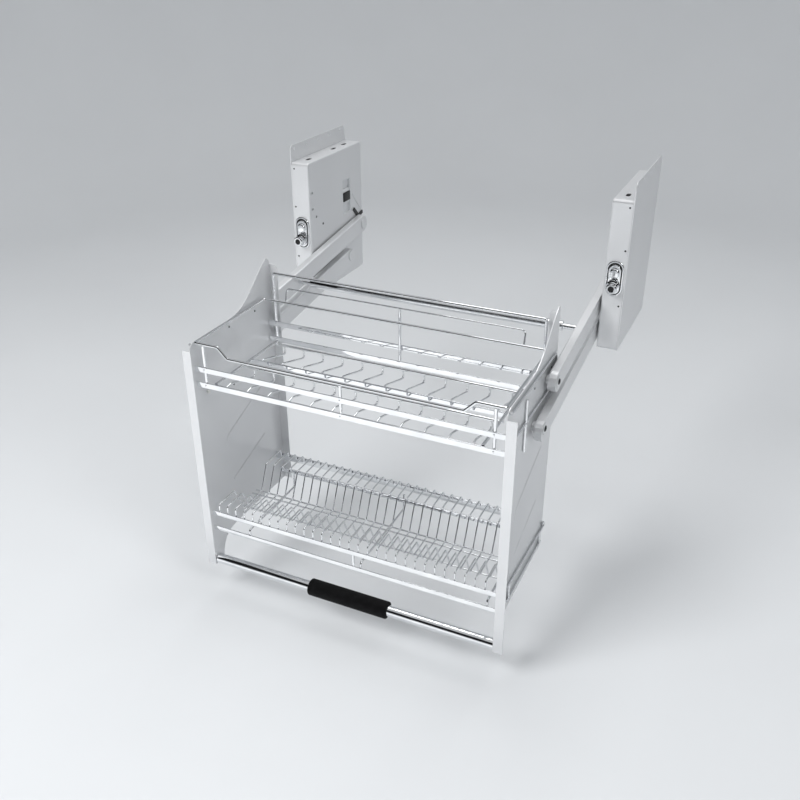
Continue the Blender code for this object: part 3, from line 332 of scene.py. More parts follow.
FINISHES = {
    "grey_paint": powder_coated_steel(),
    "chrome": chromed_drawn_steel(),
    "zinc_steel": zinc_plated_steel(),
    "black_plastic": moulded_plastic("moulded_black_abs", BLACK_PLASTIC, BLACK_PLASTIC_WORN, 0.42),
    "grey_plastic": moulded_plastic("moulded_grey_abs", GREY_PLASTIC_DARK, GREY_PLASTIC, 0.5),
    "black_foam": closed_cell_foam(),
}
WHITE_NYLON = moulded_plastic("moulded_white_nylon", NYLON_SHADE, NYLON_WHITE, 0.45)
PALE_PLASTIC = moulded_plastic("moulded_pale_grey_abs", TRAY_GREY_DARK, TRAY_GREY, 0.4)
BLACKENED_STEEL = blackened_steel()
# Nodes whose visible face has another finish than the rest of their slot
NODE_FINISHES = {
    "slider_tray": PALE_PLASTIC,
    "lift_shaft": FINISHES["grey_paint"],
    "damper_shaft": FINISHES["grey_paint"],
}


def dress_nodes():
    """Gives every node of the frame its finish, by the record's material slots."""
    for entry in frame["record"]["subparts"]:
        item = frame["nodes"][entry["node"]]
        kind = entry["node"].rpartition("_")[0]
        finish = NODE_FINISHES.get(kind, FINISHES[entry["material_slot"]])
        item.data.materials.clear()
        item.data.materials.append(finish)


# How finely the shapes are drawn
ROD_ROUNDNESS = 6
WIRE_ROUNDNESS = 4
WELD_ROUNDNESS = 2
BEND_STEPS = 6
TURN_STEPS = 48
EDGE_STEPS = 3
ROUND_STEPS = 16
SHARP_DEGREES = 38

# The axes that parts are turned about
X_AXIS = 0
Y_AXIS = 1


def fillet(points, radius, steps=BEND_STEPS):
    """A path in space with each inner corner rounded."""
    path = [Vector(point) for point in points]
    rounded = [path[0]]
    for before, corner, after in zip(path, path[1:], path[2:]):
        back = (before - corner).normalized()
        ahead = (after - corner).normalized()
        half_angle = back.angle(ahead) / 2
        reach = radius / math.tan(half_angle)
        reach = min(reach, (before - corner).length / 2, (after - corner).length / 2)
        bend = reach * math.tan(half_angle)
        centre = corner + (back + ahead).normalized() * reach / math.cos(half_angle)
        start = (corner + back * reach - centre).normalized()
        end = (corner + ahead * reach - centre).normalized()
        for step in range(steps + 1):
            rounded.append(centre + start.slerp(end, step / steps) * bend)
    rounded.append(path[-1])
    return rounded


def round_rods(paths, radius, roundness=ROD_ROUNDNESS, closed=False):
    """The mesh of round rods along paths."""
    curve = bpy.data.curves.new("rods", "CURVE")
    curve.dimensions = "3D"
    curve.bevel_depth = radius
    curve.bevel_resolution = roundness
    curve.use_fill_caps = not closed
    for path in paths:
        spline = curve.splines.new("POLY")
        spline.points.add(len(path) - 1)
        for point, spot in zip(spline.points, path):
            point.co = (*spot, 1)
        spline.use_cyclic_u = closed
    helper = bpy.data.objects.new("rods", curve)
    mesh = bpy.data.meshes.new_from_object(helper)
    bpy.data.objects.remove(helper)
    bpy.data.curves.remove(curve)
    return mesh


def to_mesh(shape, name):
    """A mesh from a bmesh, with its faces pointing out."""
    bmesh.ops.recalc_face_normals(shape, faces=shape.faces)
    mesh = bpy.data.meshes.new(name)
    shape.to_mesh(mesh)
    shape.free()
    return mesh


def edged_bar(low, high, edge):
    """The mesh of a bar between two corners, with its edges rounded."""
    low, high = Vector(low), Vector(high)
    shape = bmesh.new()
    place = Matrix.Translation((low + high) / 2) @ Matrix.Diagonal((*(high - low), 1))
    bmesh.ops.create_cube(shape, size=1, matrix=place)
    rim = list(shape.edges)
    bmesh.ops.bevel(shape, geom=rim, offset=edge, segments=EDGE_STEPS, profile=0.5, affect="EDGES")
    return to_mesh(shape, "bar")


def turned(profile, centre, axis, closed=False):
    """The mesh of a part turned about an axis, from (distance along it, radius) pairs."""
    shape = bmesh.new()
    rows = []
    for along, radius in profile:
        row = []
        for step in range(TURN_STEPS if radius else 1):
            angle = 2 * math.pi * step / TURN_STEPS
            spot = [radius * math.cos(angle), radius * math.sin(angle)]
            spot.insert(axis, along)
            row.append(shape.verts.new(Vector(spot) + Vector(centre)))
        rows.append(row)
    pairs = list(zip(rows, rows[1:]))
    if closed:
        pairs.append((rows[-1], rows[0]))
    for row, after in pairs:
        for step in range(TURN_STEPS):
            ring = ((row, step), (row, step + 1), (after, step + 1), (after, step))
            corners = [line[count % len(line)] for line, count in ring]
            shape.faces.new(list(dict.fromkeys(corners)))
    return to_mesh(shape, "turned")


def barrel(start, end, radius, bore=0):
    """A plain round part's profile from end to end."""
    return [(start, bore), (start, radius), (end, radius), (end, bore)]


def softened(profile, radius, steps=EDGE_STEPS):
    """A turned part's profile with its corners rounded."""
    points = fillet([(along, across, 0) for along, across in profile], radius, steps)
    return [(point.x, point.y) for point in points]


def stadium(middle, low, high, radius):
    """An upright (X, Z) outline with round ends."""
    points = []
    for centre, start in ((high, 0), (low, math.pi)):
        for step in range(ROUND_STEPS + 1):
            angle = start + math.pi * step / ROUND_STEPS
            points.append((middle + radius * math.cos(angle), centre + radius * math.sin(angle)))
    return points


def pressed_step(outline, back, front, edge):
    """The mesh of an (X, Z) outline pressed forward along Y, with a rounded front rim."""
    shape = bmesh.new()
    face = shape.faces.new([shape.verts.new((x, back, z)) for x, z in outline])
    grown = bmesh.ops.extrude_face_region(shape, geom=[face])
    ends = [item for item in grown["geom"] if isinstance(item, bmesh.types.BMVert)]
    caps = [item for item in grown["geom"] if isinstance(item, bmesh.types.BMFace)]
    bmesh.ops.translate(shape, vec=(0, front - back, 0), verts=ends)
    rim = list({line for cap in caps for line in cap.edges})
    bmesh.ops.bevel(shape, geom=rim, offset=edge, segments=EDGE_STEPS, profile=0.5, affect="EDGES")
    return to_mesh(shape, "step")


def add_piece(name, parts, body, slot, replaced=None, finish=None):
    """One object of several meshes, which rides on a body and may stand for a CAD node."""
    shape = bmesh.new()
    for part in parts:
        shape.from_mesh(part)
        bpy.data.meshes.remove(part)
    mesh = bpy.data.meshes.new(name)
    shape.to_mesh(mesh)
    shape.free()
    mesh.shade_smooth()
    mesh.set_sharp_from_angle(angle=math.radians(SHARP_DEGREES))
    mesh.materials.append(finish or FINISHES[slot])
    item = bpy.data.objects.new(name, mesh)
    bpy.context.scene.collection.objects.link(item)
    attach(item, body)
    if replaced:
        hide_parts(replaced)
    return item


# Carriage: places on it are measured from its own home, the top front corner of the front strips
CARRIAGE_HOME = Vector((0, -0.50895, 0.07901))
FIT_GAP = 0.0003
PANEL_INNER = 0.3105
PANEL_OUTER = 0.312
ROD_RADIUS = 0.003
WIRE_RADIUS = 0.002
THIN_WIRE_RADIUS = 0.0016
WELD_SINK = 0.0006
BAR_HEIGHT = 0.0115
BAR_SHEET = 0.0022
BAR_EDGE = 0.0006
BAR_HALF = PANEL_INNER - FIT_GAP
FRONT_BAR_Y = 0.0085
REAR_BAR_Y = 0.2665
RIM_HEIGHT = 0.0175
RIM_FRONT = 0.0105
RIM_BACK = 0.250
RIM_HALF = 0.3055
RIM_DIP_HALF = 0.2345
RIM_DIP_RUN = 0.020
RIM_DIP = 0.0205
RIM_BEND = 0.005
BASKET_FRONT_BARS = (-0.0295, -0.062)
BASKET_REAR_BARS = (-0.036, -0.0725)
UPRIGHT_HALF = 0.2885
GUARD_HALF = 0.292
GUARD_TOP = 0.0695
GUARD_FOOT = -0.080
GUARD_BEND = 0.0045
INNER_GUARD_HALF = 0.256
INNER_GUARD_TOP = 0.044
INNER_GUARD_BEND = 0.008
FLOOR_HALF = 0.268
FLOOR_HEIGHT = -0.068
FLOOR_BACK = 0.2265
FLOOR_MIDDLE = 0.110
REST_BAR_TOP = -0.0605
CUP_WIRE_COUNT = 12
CUP_WIRE_PITCH = 0.0452
CUP_DROP = 0.0215
CUP_DROP_BACK = 0.005
CUP_RUN = 0.0825
CUP_RISE = 0.0235
CUP_HOOK = 0.014
CUP_HOOK_DROP = 0.002
CUP_BEND = 0.006
CUP_REACH = CUP_RUN + CUP_HOOK - CUP_DROP_BACK
FLOOR_FRONT = FLOOR_MIDDLE - CUP_REACH - ROD_RADIUS - 2 * FIT_GAP
REST_BAR = FLOOR_BACK - CUP_REACH - BAR_SHEET / 2 - 2 * FIT_GAP


def at_home(points):
    """Places on the carriage, in the whole object's frame."""
    return [Vector(point) + CARRIAGE_HOME for point in points]


def bent_rod(points, bend):
    """A rod's path on the carriage, with its bends."""
    return fillet(at_home(points), bend)


def flat_bar(y, top, half=BAR_HALF, height=BAR_HEIGHT):
    """A flat chromed strip on edge, from side to side."""
    low, high = at_home([(-half, y - BAR_SHEET / 2, top - height), (half, y + BAR_SHEET / 2, top)])
    return edged_bar(low, high, BAR_EDGE)


def weld_beads(places, radius):
    """Small round welds where rods cross."""
    shape = bmesh.new()
    for place in at_home(places):
        spot = Matrix.Translation(place)
        bmesh.ops.create_icosphere(shape, subdivisions=WELD_ROUNDNESS, radius=radius, matrix=spot)
    return to_mesh(shape, "welds")


def strip_welds(across, y, tops):
    """Places of the welds where upright rods cross the strips behind them."""
    return [(x, y + BAR_SHEET / 2, top - BAR_HEIGHT / 2) for x in across for top in tops]


def upper_basket():
    """The cup basket's rim, its front and rear strips with their uprights, and both guards."""
    half, dip, low = RIM_HALF, RIM_DIP_HALF, RIM_HEIGHT - RIM_DIP
    start = (0, RIM_BACK, RIM_HEIGHT)
    corners = [
        start, (half, RIM_BACK, RIM_HEIGHT), (half, RIM_FRONT, RIM_HEIGHT),
        (dip + RIM_DIP_RUN, RIM_FRONT, RIM_HEIGHT), (dip, RIM_FRONT, low),
        (-dip, RIM_FRONT, low), (-dip - RIM_DIP_RUN, RIM_FRONT, RIM_HEIGHT),
        (-half, RIM_FRONT, RIM_HEIGHT), (-half, RIM_BACK, RIM_HEIGHT), start,
    ]
    rim = round_rods([bent_rod(corners, RIM_BEND)[:-1]], ROD_RADIUS, closed=True)
    add_piece("rim_rod", [rim], "carriage", "chrome", "upper_rim")

    y = FRONT_BAR_Y + ROD_RADIUS
    top, foot = RIM_HEIGHT - ROD_RADIUS - FIT_GAP, FLOOR_HEIGHT + ROD_RADIUS + FIT_GAP
    tops = {-UPRIGHT_HALF: top, 0: top - RIM_DIP, UPRIGHT_HALF: top}
    uprights = [at_home([(x, y, foot), (x, y, high)]) for x, high in tops.items()]
    welds = strip_welds(tops, FRONT_BAR_Y, BASKET_FRONT_BARS)
    parts = [flat_bar(FRONT_BAR_Y, top) for top in BASKET_FRONT_BARS]
    parts += [round_rods(uprights, ROD_RADIUS), weld_beads(welds, ROD_RADIUS)]
    add_piece("front_strips", parts, "carriage", "chrome", "basket_front_bars")

    y = REAR_BAR_Y + ROD_RADIUS
    wide = GUARD_HALF
    hoop = [
        (-wide, y, GUARD_FOOT), (-wide, y, GUARD_TOP), (wide, y, GUARD_TOP), (wide, y, GUARD_FOOT),
    ]
    welds = strip_welds((-wide, wide), REAR_BAR_Y, BASKET_REAR_BARS)
    parts = [flat_bar(REAR_BAR_Y, top) for top in BASKET_REAR_BARS]
    parts += [round_rods([bent_rod(hoop, GUARD_BEND)], ROD_RADIUS), weld_beads(welds, ROD_RADIUS)]
    add_piece("rear_hoop", parts, "carriage", "chrome", "basket_rear_guard")

    back = REAR_BAR_Y - BAR_SHEET / 2 - ROD_RADIUS - FIT_GAP
    front = RIM_BACK + ROD_RADIUS + WIRE_RADIUS + FIT_GAP
    wide, high, foot = INNER_GUARD_HALF, INNER_GUARD_TOP, RIM_HEIGHT - ROD_RADIUS
    hoop = [(-wide, front, foot), (-wide, back, high), (wide, back, high), (wide, front, foot)]
    post = at_home([(0, back, FLOOR_HEIGHT), (0, back, high)])
    parts = [
        round_rods([bent_rod(hoop, INNER_GUARD_BEND)], WIRE_RADIUS),
        round_rods([post], ROD_RADIUS),
    ]
    add_piece("low_hoop", parts, "carriage", "chrome", "basket_inner_guard")


def cup_floor():
    """The cup basket's floor: rods, a strip on edge, and two rows of bent wires."""
    z = FLOOR_HEIGHT
    reach = FLOOR_HALF + ROD_RADIUS
    height = z + 2 * ROD_RADIUS - WELD_SINK
    front, back = FLOOR_FRONT - ROD_RADIUS, FLOOR_BACK + ROD_RADIUS
    frame_rods = [
        at_home([(-reach, y, z), (reach, y, z)]) for y in (FLOOR_BACK, FLOOR_MIDDLE, FLOOR_FRONT)
    ]
    frame_rods += [
        at_home([(x, front, height), (x, back, height)]) for x in (-FLOOR_HALF, FLOOR_HALF)
    ]
    wires, welds = [], []
    first = -CUP_WIRE_PITCH * (CUP_WIRE_COUNT - 1) / 2
    for row in (FLOOR_BACK, FLOOR_MIDDLE):
        for count in range(CUP_WIRE_COUNT):
            x = first + count * CUP_WIRE_PITCH
            heel = (row + CUP_DROP_BACK, z - CUP_DROP)
            peak = (heel[0] - CUP_RUN, heel[1] + CUP_RISE)
            hook = (peak[0] - CUP_HOOK, peak[1] - CUP_HOOK_DROP)
            wires.append(bent_rod([(x, row, z), (x, *heel), (x, *peak), (x, *hook)], CUP_BEND))
            welds += [(x, row, z - ROD_RADIUS), (x, *hook)]
    parts = [
        round_rods(frame_rods, ROD_RADIUS),
        round_rods(wires, WIRE_RADIUS, WIRE_ROUNDNESS),
        flat_bar(REST_BAR, REST_BAR_TOP, FLOOR_HALF),
        weld_beads(welds, WIRE_RADIUS),
    ]
    add_piece("cup_floor", parts, "carriage", "chrome", "basket_floor_wires")


# Lower plate rack
PLATE_WIRE_COUNT = 30
PLATE_WIRE_PITCH = 0.020
PLATE_WIRE_FIRST = -0.2936
PLATE_FLOOR = -0.405
PLATE_TAIL = (0.2525, -0.364)
PLATE_PEAK = (0.2485, -0.3475)
PLATE_SHOULDER = (0.1905, -0.348)
PLATE_HEEL = (0.1635, PLATE_FLOOR)
PLATE_BUTT = 0.1065
PLATE_FOOT = (0.093, PLATE_FLOOR)
UPSTAND_PEAK = (0.065, -0.3447)
UPSTAND_FRONT = (0.0115, -0.3452)
UPSTAND_END = (0.0115, -0.364)
PLATE_BEND = 0.0045
HEEL_ROD = 0.1665
COMB_ROD = 0.151
FOOT_ROD = 0.1015
RACK_BAR_HEIGHT = 0.0105
RACK_BAR_TOPS = (-0.3617, -0.399)
RACK_LINK = 0.0146
SHELF_FRONT_Y = 0.1945
SHELF_FRONT_HALF = 0.261
SHELF_FRONT_HEIGHT = 0.010
SHELF_REAR_Y = 0.2555
SHELF_REAR_TOP = -0.357
SHELF_REAR_HEIGHT = 0.0165
BRACE_RADIUS = 0.0024
BRACE_BEND = 0.006
BRACE_TOP = -0.354
BRACE_KNEE = -0.390
BRACE_FRONT = -0.388
BRACE_END = -0.403
BRACES = ((-0.2235, 0.1905), (0.0311, 0.213), (0.2915, 0.1905))


def plate_rack():
    """The plate wires, the rods and strips that carry them, and the braces between."""
    places = [PLATE_WIRE_FIRST + count * PLATE_WIRE_PITCH for count in range(PLATE_WIRE_COUNT)]
    under = PLATE_FLOOR - THIN_WIRE_RADIUS - WIRE_RADIUS
    thin = THIN_WIRE_RADIUS
    rear = [PLATE_TAIL, PLATE_PEAK, PLATE_SHOULDER, PLATE_HEEL, (PLATE_BUTT, PLATE_FLOOR)]
    front = [(PLATE_BUTT, PLATE_FLOOR), PLATE_FOOT, UPSTAND_PEAK, UPSTAND_FRONT, UPSTAND_END]
    for name, node, outline, rod_y in (
        ("plate_wires_rear", "plate_comb", rear, COMB_ROD),
        ("plate_wires_front", "plate_upstands", front, FOOT_ROD),
    ):
        wires = [bent_rod([(x, *spot) for spot in outline], PLATE_BEND) for x in places]
        rod = at_home([(x, rod_y, under + WELD_SINK) for x in (-BAR_HALF, BAR_HALF)])
        welds = [(x, rod_y, PLATE_FLOOR - thin) for x in places]
        parts = [
            round_rods(wires, thin, WIRE_ROUNDNESS),
            round_rods([rod], WIRE_RADIUS),
            weld_beads(welds, thin),
        ]
        add_piece(name, parts, "carriage", "chrome", node)
    heel = at_home([(x, HEEL_ROD, under - FIT_GAP) for x in (-BAR_HALF, BAR_HALF)])
    add_piece("heel_rod", [round_rods([heel], WIRE_RADIUS)], "carriage", "chrome", "plate_frame")

    top = PLATE_SHOULDER[1] - thin - FIT_GAP
    strip = flat_bar(SHELF_FRONT_Y, top, SHELF_FRONT_HALF, SHELF_FRONT_HEIGHT)
    add_piece("shoulder_strip", [strip], "carriage", "chrome", "shelf_bar_front")
    strip = flat_bar(SHELF_REAR_Y, SHELF_REAR_TOP, BAR_HALF, SHELF_REAR_HEIGHT)
    add_piece("rear_strip", [strip], "carriage", "chrome", "shelf_bar_rear")

    y = FRONT_BAR_Y + ROD_RADIUS
    third = RACK_BAR_HEIGHT / 3
    upper, lower = RACK_BAR_TOPS
    link = at_home([(RACK_LINK, y, upper - third), (RACK_LINK, y, lower - 2 * third)])
    front_y = FRONT_BAR_Y + BAR_SHEET / 2 + BRACE_RADIUS - WELD_SINK
    braces = []
    for x, knee in BRACES:
        corners = (
            (knee, BRACE_TOP), (knee, BRACE_KNEE), (front_y, BRACE_FRONT), (front_y, BRACE_END),
        )
        braces.append(bent_rod([(x, *corner) for corner in corners], BRACE_BEND))
    parts = [flat_bar(FRONT_BAR_Y, top, BAR_HALF, RACK_BAR_HEIGHT) for top in RACK_BAR_TOPS]
    parts += [round_rods([link], ROD_RADIUS), round_rods(braces, BRACE_RADIUS)]
    add_piece("rack_strips", parts, "carriage", "chrome", "rack_front_bars")


# Outer rails on the panels' outer faces, as (y, z) places on the carriage
OUTER_ROD_RADIUS = 0.0024
OUTER_BEND = 0.008
OUTER_RAILS = {
    "upper_rail": (((0.007, 0.014), (0.012, 0.008), (0.2715, 0.0075), (0.271, -0.078)),),
    "middle_rail": (((0.004, -0.053), (0.242, -0.053)), ((0.099, -0.008), (0.099, -0.111))),
    "lower_rail": (
        ((0.053, -0.381), (0.291, -0.397), (0.289, -0.386), (0.272, -0.385)),
        ((0.056, -0.417), (0.272, -0.425)),
        ((0.066, -0.3815), (0.066, -0.4178)),
        ((0.262, -0.394), (0.262, -0.425)),
    ),
}


def outer_rails():
    """The chromed rods on the outer faces of both side panels."""
    for side_name, side in SIDES.items():
        x = side * (PANEL_OUTER + FIT_GAP + OUTER_ROD_RADIUS)
        for name, paths in OUTER_RAILS.items():
            rails = [bent_rod([(x, *spot) for spot in path], OUTER_BEND) for path in paths]
            node = f"{name}_{side_name}"
            rods = round_rods(rails, OUTER_ROD_RADIUS)
            add_piece(f"{node}_rods", [rods], "carriage", "chrome", node)


# Handle and cross tube
HANDLE_PLACE = (0, 0.012, -0.4877)
HANDLE_RADIUS = 0.011
HANDLE_EDGE = 0.0008
GRIP_RADIUS = 0.0174
GRIP_START = -0.086
GRIP_END = 0.089
GRIP_EDGE = 0.0045
TUBE_RADIUS = 0.010
TUBE_HALF = 0.2875
SPIGOT_RADIUS = 0.0055
SPIGOT_INSERT = 0.014
ARM_INNER = 0.3185
ARM_OUTER = 0.3345


def tubes():
    """The pull tube with its foam sleeve, and the cross tube with its end spigots."""
    centre = at_home([HANDLE_PLACE])[0]
    outline = softened(barrel(-BAR_HALF, BAR_HALF, HANDLE_RADIUS), HANDLE_EDGE)
    pull = turned(outline, centre, X_AXIS)
    add_piece("pull_tube", [pull], "carriage", "chrome", "handle_tube")
    outline = barrel(GRIP_START, GRIP_END, GRIP_RADIUS, HANDLE_RADIUS + FIT_GAP)
    sleeve = turned(softened(outline, GRIP_EDGE, BEND_STEPS), centre, X_AXIS, closed=True)
    add_piece("foam_sleeve", [sleeve], "carriage", "black_foam", "handle_grip")

    low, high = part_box("cross_tube")
    centre = (Vector(low) + Vector(high)) / 2
    outline = barrel(-TUBE_HALF, TUBE_HALF, TUBE_RADIUS, SPIGOT_RADIUS + FIT_GAP)
    tube = turned(softened(outline, HANDLE_EDGE), centre, X_AXIS, closed=True)
    add_piece("tie_tube", [tube], "lift_arms", "chrome", "cross_tube")
    for name, side in SIDES.items():
        ends = sorted((side * (TUBE_HALF - SPIGOT_INSERT), side * (ARM_INNER - FIT_GAP)))
        spigot = turned(barrel(*ends, SPIGOT_RADIUS), centre, X_AXIS)
        add_piece(f"tube_end_{name}", [spigot], "lift_arms", "chrome", f"tube_spigot_{name}")


# Housings: front fitting, small fasteners
HOUSING_INNER = 0.338
BOSS_SIDE = 0.3595
BOSS_HEIGHT = 0.142
FITTING_STEPS = (
    # radius, lower centre, upper centre, back, front, edge
    (0.0175, 0.1365, 0.1765, -0.0003, -0.0026, 0.0018),
    (0.0125, 0.1365, 0.1735, -0.0020, -0.0044, 0.0012),
    (0.0095, 0.1670, 0.1700, -0.0040, -0.0100, 0.0030),
)
# Painted reflection: a black ring just proud of the first chrome step, drawing the dark band that
# the chrome reflects there (radius, lower centre, upper centre, back, front, edge)
PAINTED_DARK_BAND = (0.0148, 0.1365, 0.1750, -0.0020, -0.0030, 0.0003)
BOSS_PROFILE = (
    (-0.0048, 0.0), (-0.0048, 0.0135), (-0.0105, 0.0135), (-0.0115, 0.0100), (-0.0150, 0.0092),
    (-0.0170, 0.0110), (-0.0245, 0.0110), (-0.0258, 0.0090), (-0.0258, 0.0062), (-0.0215, 0.0055),
    (-0.0215, 0.0),
)
BOSS_SOFT = 0.0008
SOCKET_RADIUS = 0.0053
SOCKET_DEPTHS = (-0.0216, -0.0236)


def front_fittings():
    """The stepped chrome plate on each housing's front and the boss that turns on it."""
    for name, side in SIDES.items():
        x = side * BOSS_SIDE
        steps = [
            pressed_step(stadium(x, low, high, radius), back, front, edge)
            for radius, low, high, back, front, edge in FITTING_STEPS
        ]
        add_piece(f"stepped_plate_{name}", steps, "housings", "chrome", f"front_plate_{name}")
        # The black ring is painted reflection: it draws the dark band seen on the chrome steps
        radius, low, high, back, front, edge = PAINTED_DARK_BAND
        dark_band = pressed_step(stadium(x, low, high, radius), back, front, edge)
        add_piece(f"painted_dark_band_{name}", [dark_band], "housings", "black_plastic")
        body, centre = f"adjuster_{name}", (x, 0, BOSS_HEIGHT)
        boss = turned(softened(BOSS_PROFILE, BOSS_SOFT), centre, Y_AXIS)
        add_piece(f"turned_boss_{name}", [boss], body, "chrome", f"adjuster_boss_{name}")
        outline = softened(barrel(*SOCKET_DEPTHS, SOCKET_RADIUS), BOSS_SOFT)
        plug = turned(outline, centre, Y_AXIS)
        add_piece(f"boss_socket_{name}", [plug], body, "black_plastic")


# A head's profile with its socket, as shares of its height and its radius
HEAD_PROFILE = (
    (0, 0), (0, 1), (0.35, 1), (0.85, 0.82), (1, 0.6), (1, 0.42), (0.3, 0.36), (0.3, 0),
)


def head(place, axis, outwards, radius, height):
    """A low round head with a socket in its middle, standing on a face."""
    profile = [(outwards * height * rise, radius * reach) for rise, reach in HEAD_PROFILE]
    return turned(profile, place, axis)


# Heads on flat faces: (y, z) on the carriage, (y, z) or (x, z) on the housings
PANEL_HEADS = ((0.128, 0.002), (0.220, 0.001), (0.125, -0.1245), (0.014, -0.036), (0.0135, -0.074))
PANEL_OUTER_HEADS = ((0.2523, -0.0155), (0.1491, -0.0108))
PANEL_HEAD_RADIUS = 0.0021
PANEL_HEAD_HEIGHT = 0.0008
HOUSING_FRONT_HEADS = ((0.3745, 0.2154), (0.3735, 0.3016), (0.3740, 0.0985))
HOUSING_FRONT_RADIUS = 0.0019
HOUSING_FACE_HEADS = ((0.089, 0.085), (0.1985, 0.100), (0.057, 0.165))
HOUSING_FACE_RADIUS = 0.0026
HOUSING_HEAD_HEIGHT = 0.0009
PIN_PLACES = {"upper_pin": (0.2236, -0.0266), "lower_pin": (0.1526, -0.0876)}
PIN_CAP_RADIUS = 0.0124
PIN_CAP_HEIGHT = 0.0010
PIN_CAP_TAPER = 0.92
PIN_CAP_EDGE = 0.0004
PIN_HEAD_RADIUS = 0.0058
PIN_HEAD_HEIGHT = 0.0018
PIN_COLLAR_RADIUS = 0.009
PIN_RADIUS = 0.005
PEG_PLACE = (0.0379, -0.0986)
PEG_RADIUS = 0.0030
PEG_LENGTH = 0.0055
PEG_EDGE = 0.0009


def fasteners():
    """Rivets, nylon pegs, screws and the pivot pins."""
    for name, side in SIDES.items():
        inner, outer = side * PANEL_INNER, side * PANEL_OUTER
        faces = ((inner, -side, PANEL_HEADS), (outer, side, PANEL_OUTER_HEADS))
        heads = [
            head(at_home([(x, *spot)])[0], X_AXIS, outwards, PANEL_HEAD_RADIUS, PANEL_HEAD_HEIGHT)
            for x, outwards, spots in faces for spot in spots
        ]
        add_piece(f"panel_rivets_{name}", heads, "carriage", "zinc_steel", finish=BLACKENED_STEEL)
        outline = softened(barrel(0, -side * PEG_LENGTH, PEG_RADIUS), PEG_EDGE)
        peg = turned(outline, at_home([(inner, *PEG_PLACE)])[0], X_AXIS)
        add_piece(f"nylon_peg_{name}", [peg], "carriage", "grey_plastic", finish=WHITE_NYLON)

        heads = [
            head((side * x, 0, z), Y_AXIS, -1, HOUSING_FRONT_RADIUS, HOUSING_HEAD_HEIGHT)
            for x, z in HOUSING_FRONT_HEADS
        ]
        heads += [
            head(
                (side * HOUSING_INNER, y, z), X_AXIS, -side,
                HOUSING_FACE_RADIUS, HOUSING_HEAD_HEIGHT,
            )
            for y, z in HOUSING_FACE_HEADS
        ]
        add_piece(f"housing_screws_{name}", heads, "housings", "zinc_steel", finish=BLACKENED_STEEL)

        for pin, spot in PIN_PLACES.items():
            centre = at_home([(0, *spot)])[0]
            start, shank = PANEL_OUTER + FIT_GAP, ARM_INNER - FIT_GAP
            under, over = ARM_OUTER + FIT_GAP, ARM_OUTER + FIT_GAP + PIN_CAP_HEIGHT
            profile = [
                (start, 0), (start, PIN_COLLAR_RADIUS),
                (shank, PIN_COLLAR_RADIUS), (shank, PIN_RADIUS),
                (under, PIN_RADIUS), (under, PIN_CAP_RADIUS),
                (over, PIN_CAP_TAPER * PIN_CAP_RADIUS), (over, 0),
            ]
            profile = softened([(side * along, across) for along, across in profile], PIN_CAP_EDGE)
            cap = turned(profile, centre, X_AXIS)
            node = f"{pin}_{name}"
            add_piece(
                f"{pin}_cap_{name}", [cap], "carriage", "zinc_steel", node, FINISHES["grey_paint"]
            )
            face = centre + Vector((side * over, 0, 0))
            bolt = head(face, X_AXIS, side, PIN_HEAD_RADIUS, PIN_HEAD_HEIGHT)
            add_piece(
                f"{pin}_bolt_{name}", [bolt], "carriage", "zinc_steel", finish=BLACKENED_STEEL
            )


# Pressed beads of the side panels, as (y, z) places on the carriage
BEADS = (
    ((0.228, -0.170), (0.103, -0.218), (0.085, -0.226), (0.080, -0.246)),
    ((0.217, -0.290), (0.0925, -0.334)),
)
BEAD_HALF = 0.0021
BEAD_EDGE_RADIUS = 0.0010
BEAD_EDGE_RISE = 0.0004
BEAD_BEND = 0.010


def bead_edges():
    """The thin rolled edges on the outer side of each pressed bead."""
    for name, side in SIDES.items():
        x = side * (PANEL_OUTER + BEAD_EDGE_RISE - BEAD_EDGE_RADIUS)
        rims = [
            bent_rod([(x, y, z + shift) for y, z in bead], BEAD_BEND)
            for bead in BEADS for shift in (-BEAD_HALF, BEAD_HALF)
        ]
        part = round_rods(rims, BEAD_EDGE_RADIUS, WIRE_ROUNDNESS)
        add_piece(f"bead_edges_{name}", [part], "carriage", "grey_paint")


# Force slider: a grey plate that fills the tray's width, and a black knob on it
SLIDE_LOW = (0.1593, 0.182)
SLIDE_HIGH = (0.1928, 0.217)
SLIDE_FLOOR = 0.3442
SLIDE_FACE = 0.3395
SLIDE_EDGE = 0.0006
KNOB_LOW = (0.1600, 0.1885)
KNOB_HIGH = (0.1921, 0.2105)
KNOB_FACE = 0.3360
KNOB_EDGE = 0.0012
KNOB_GAP = FIT_GAP / 3
KNOB_RIB_COUNT = 5
KNOB_RIB_WIDTH = 0.0014
KNOB_RIB_RISE = 0.0002


def slider_block(side, low, high, near, far, edge):
    """The mesh of an edged block between two (y, z) corners, at two distances from the middle."""
    ends = sorted((side * near, side * far))
    return edged_bar((ends[0], *low), (ends[1], *high), edge)


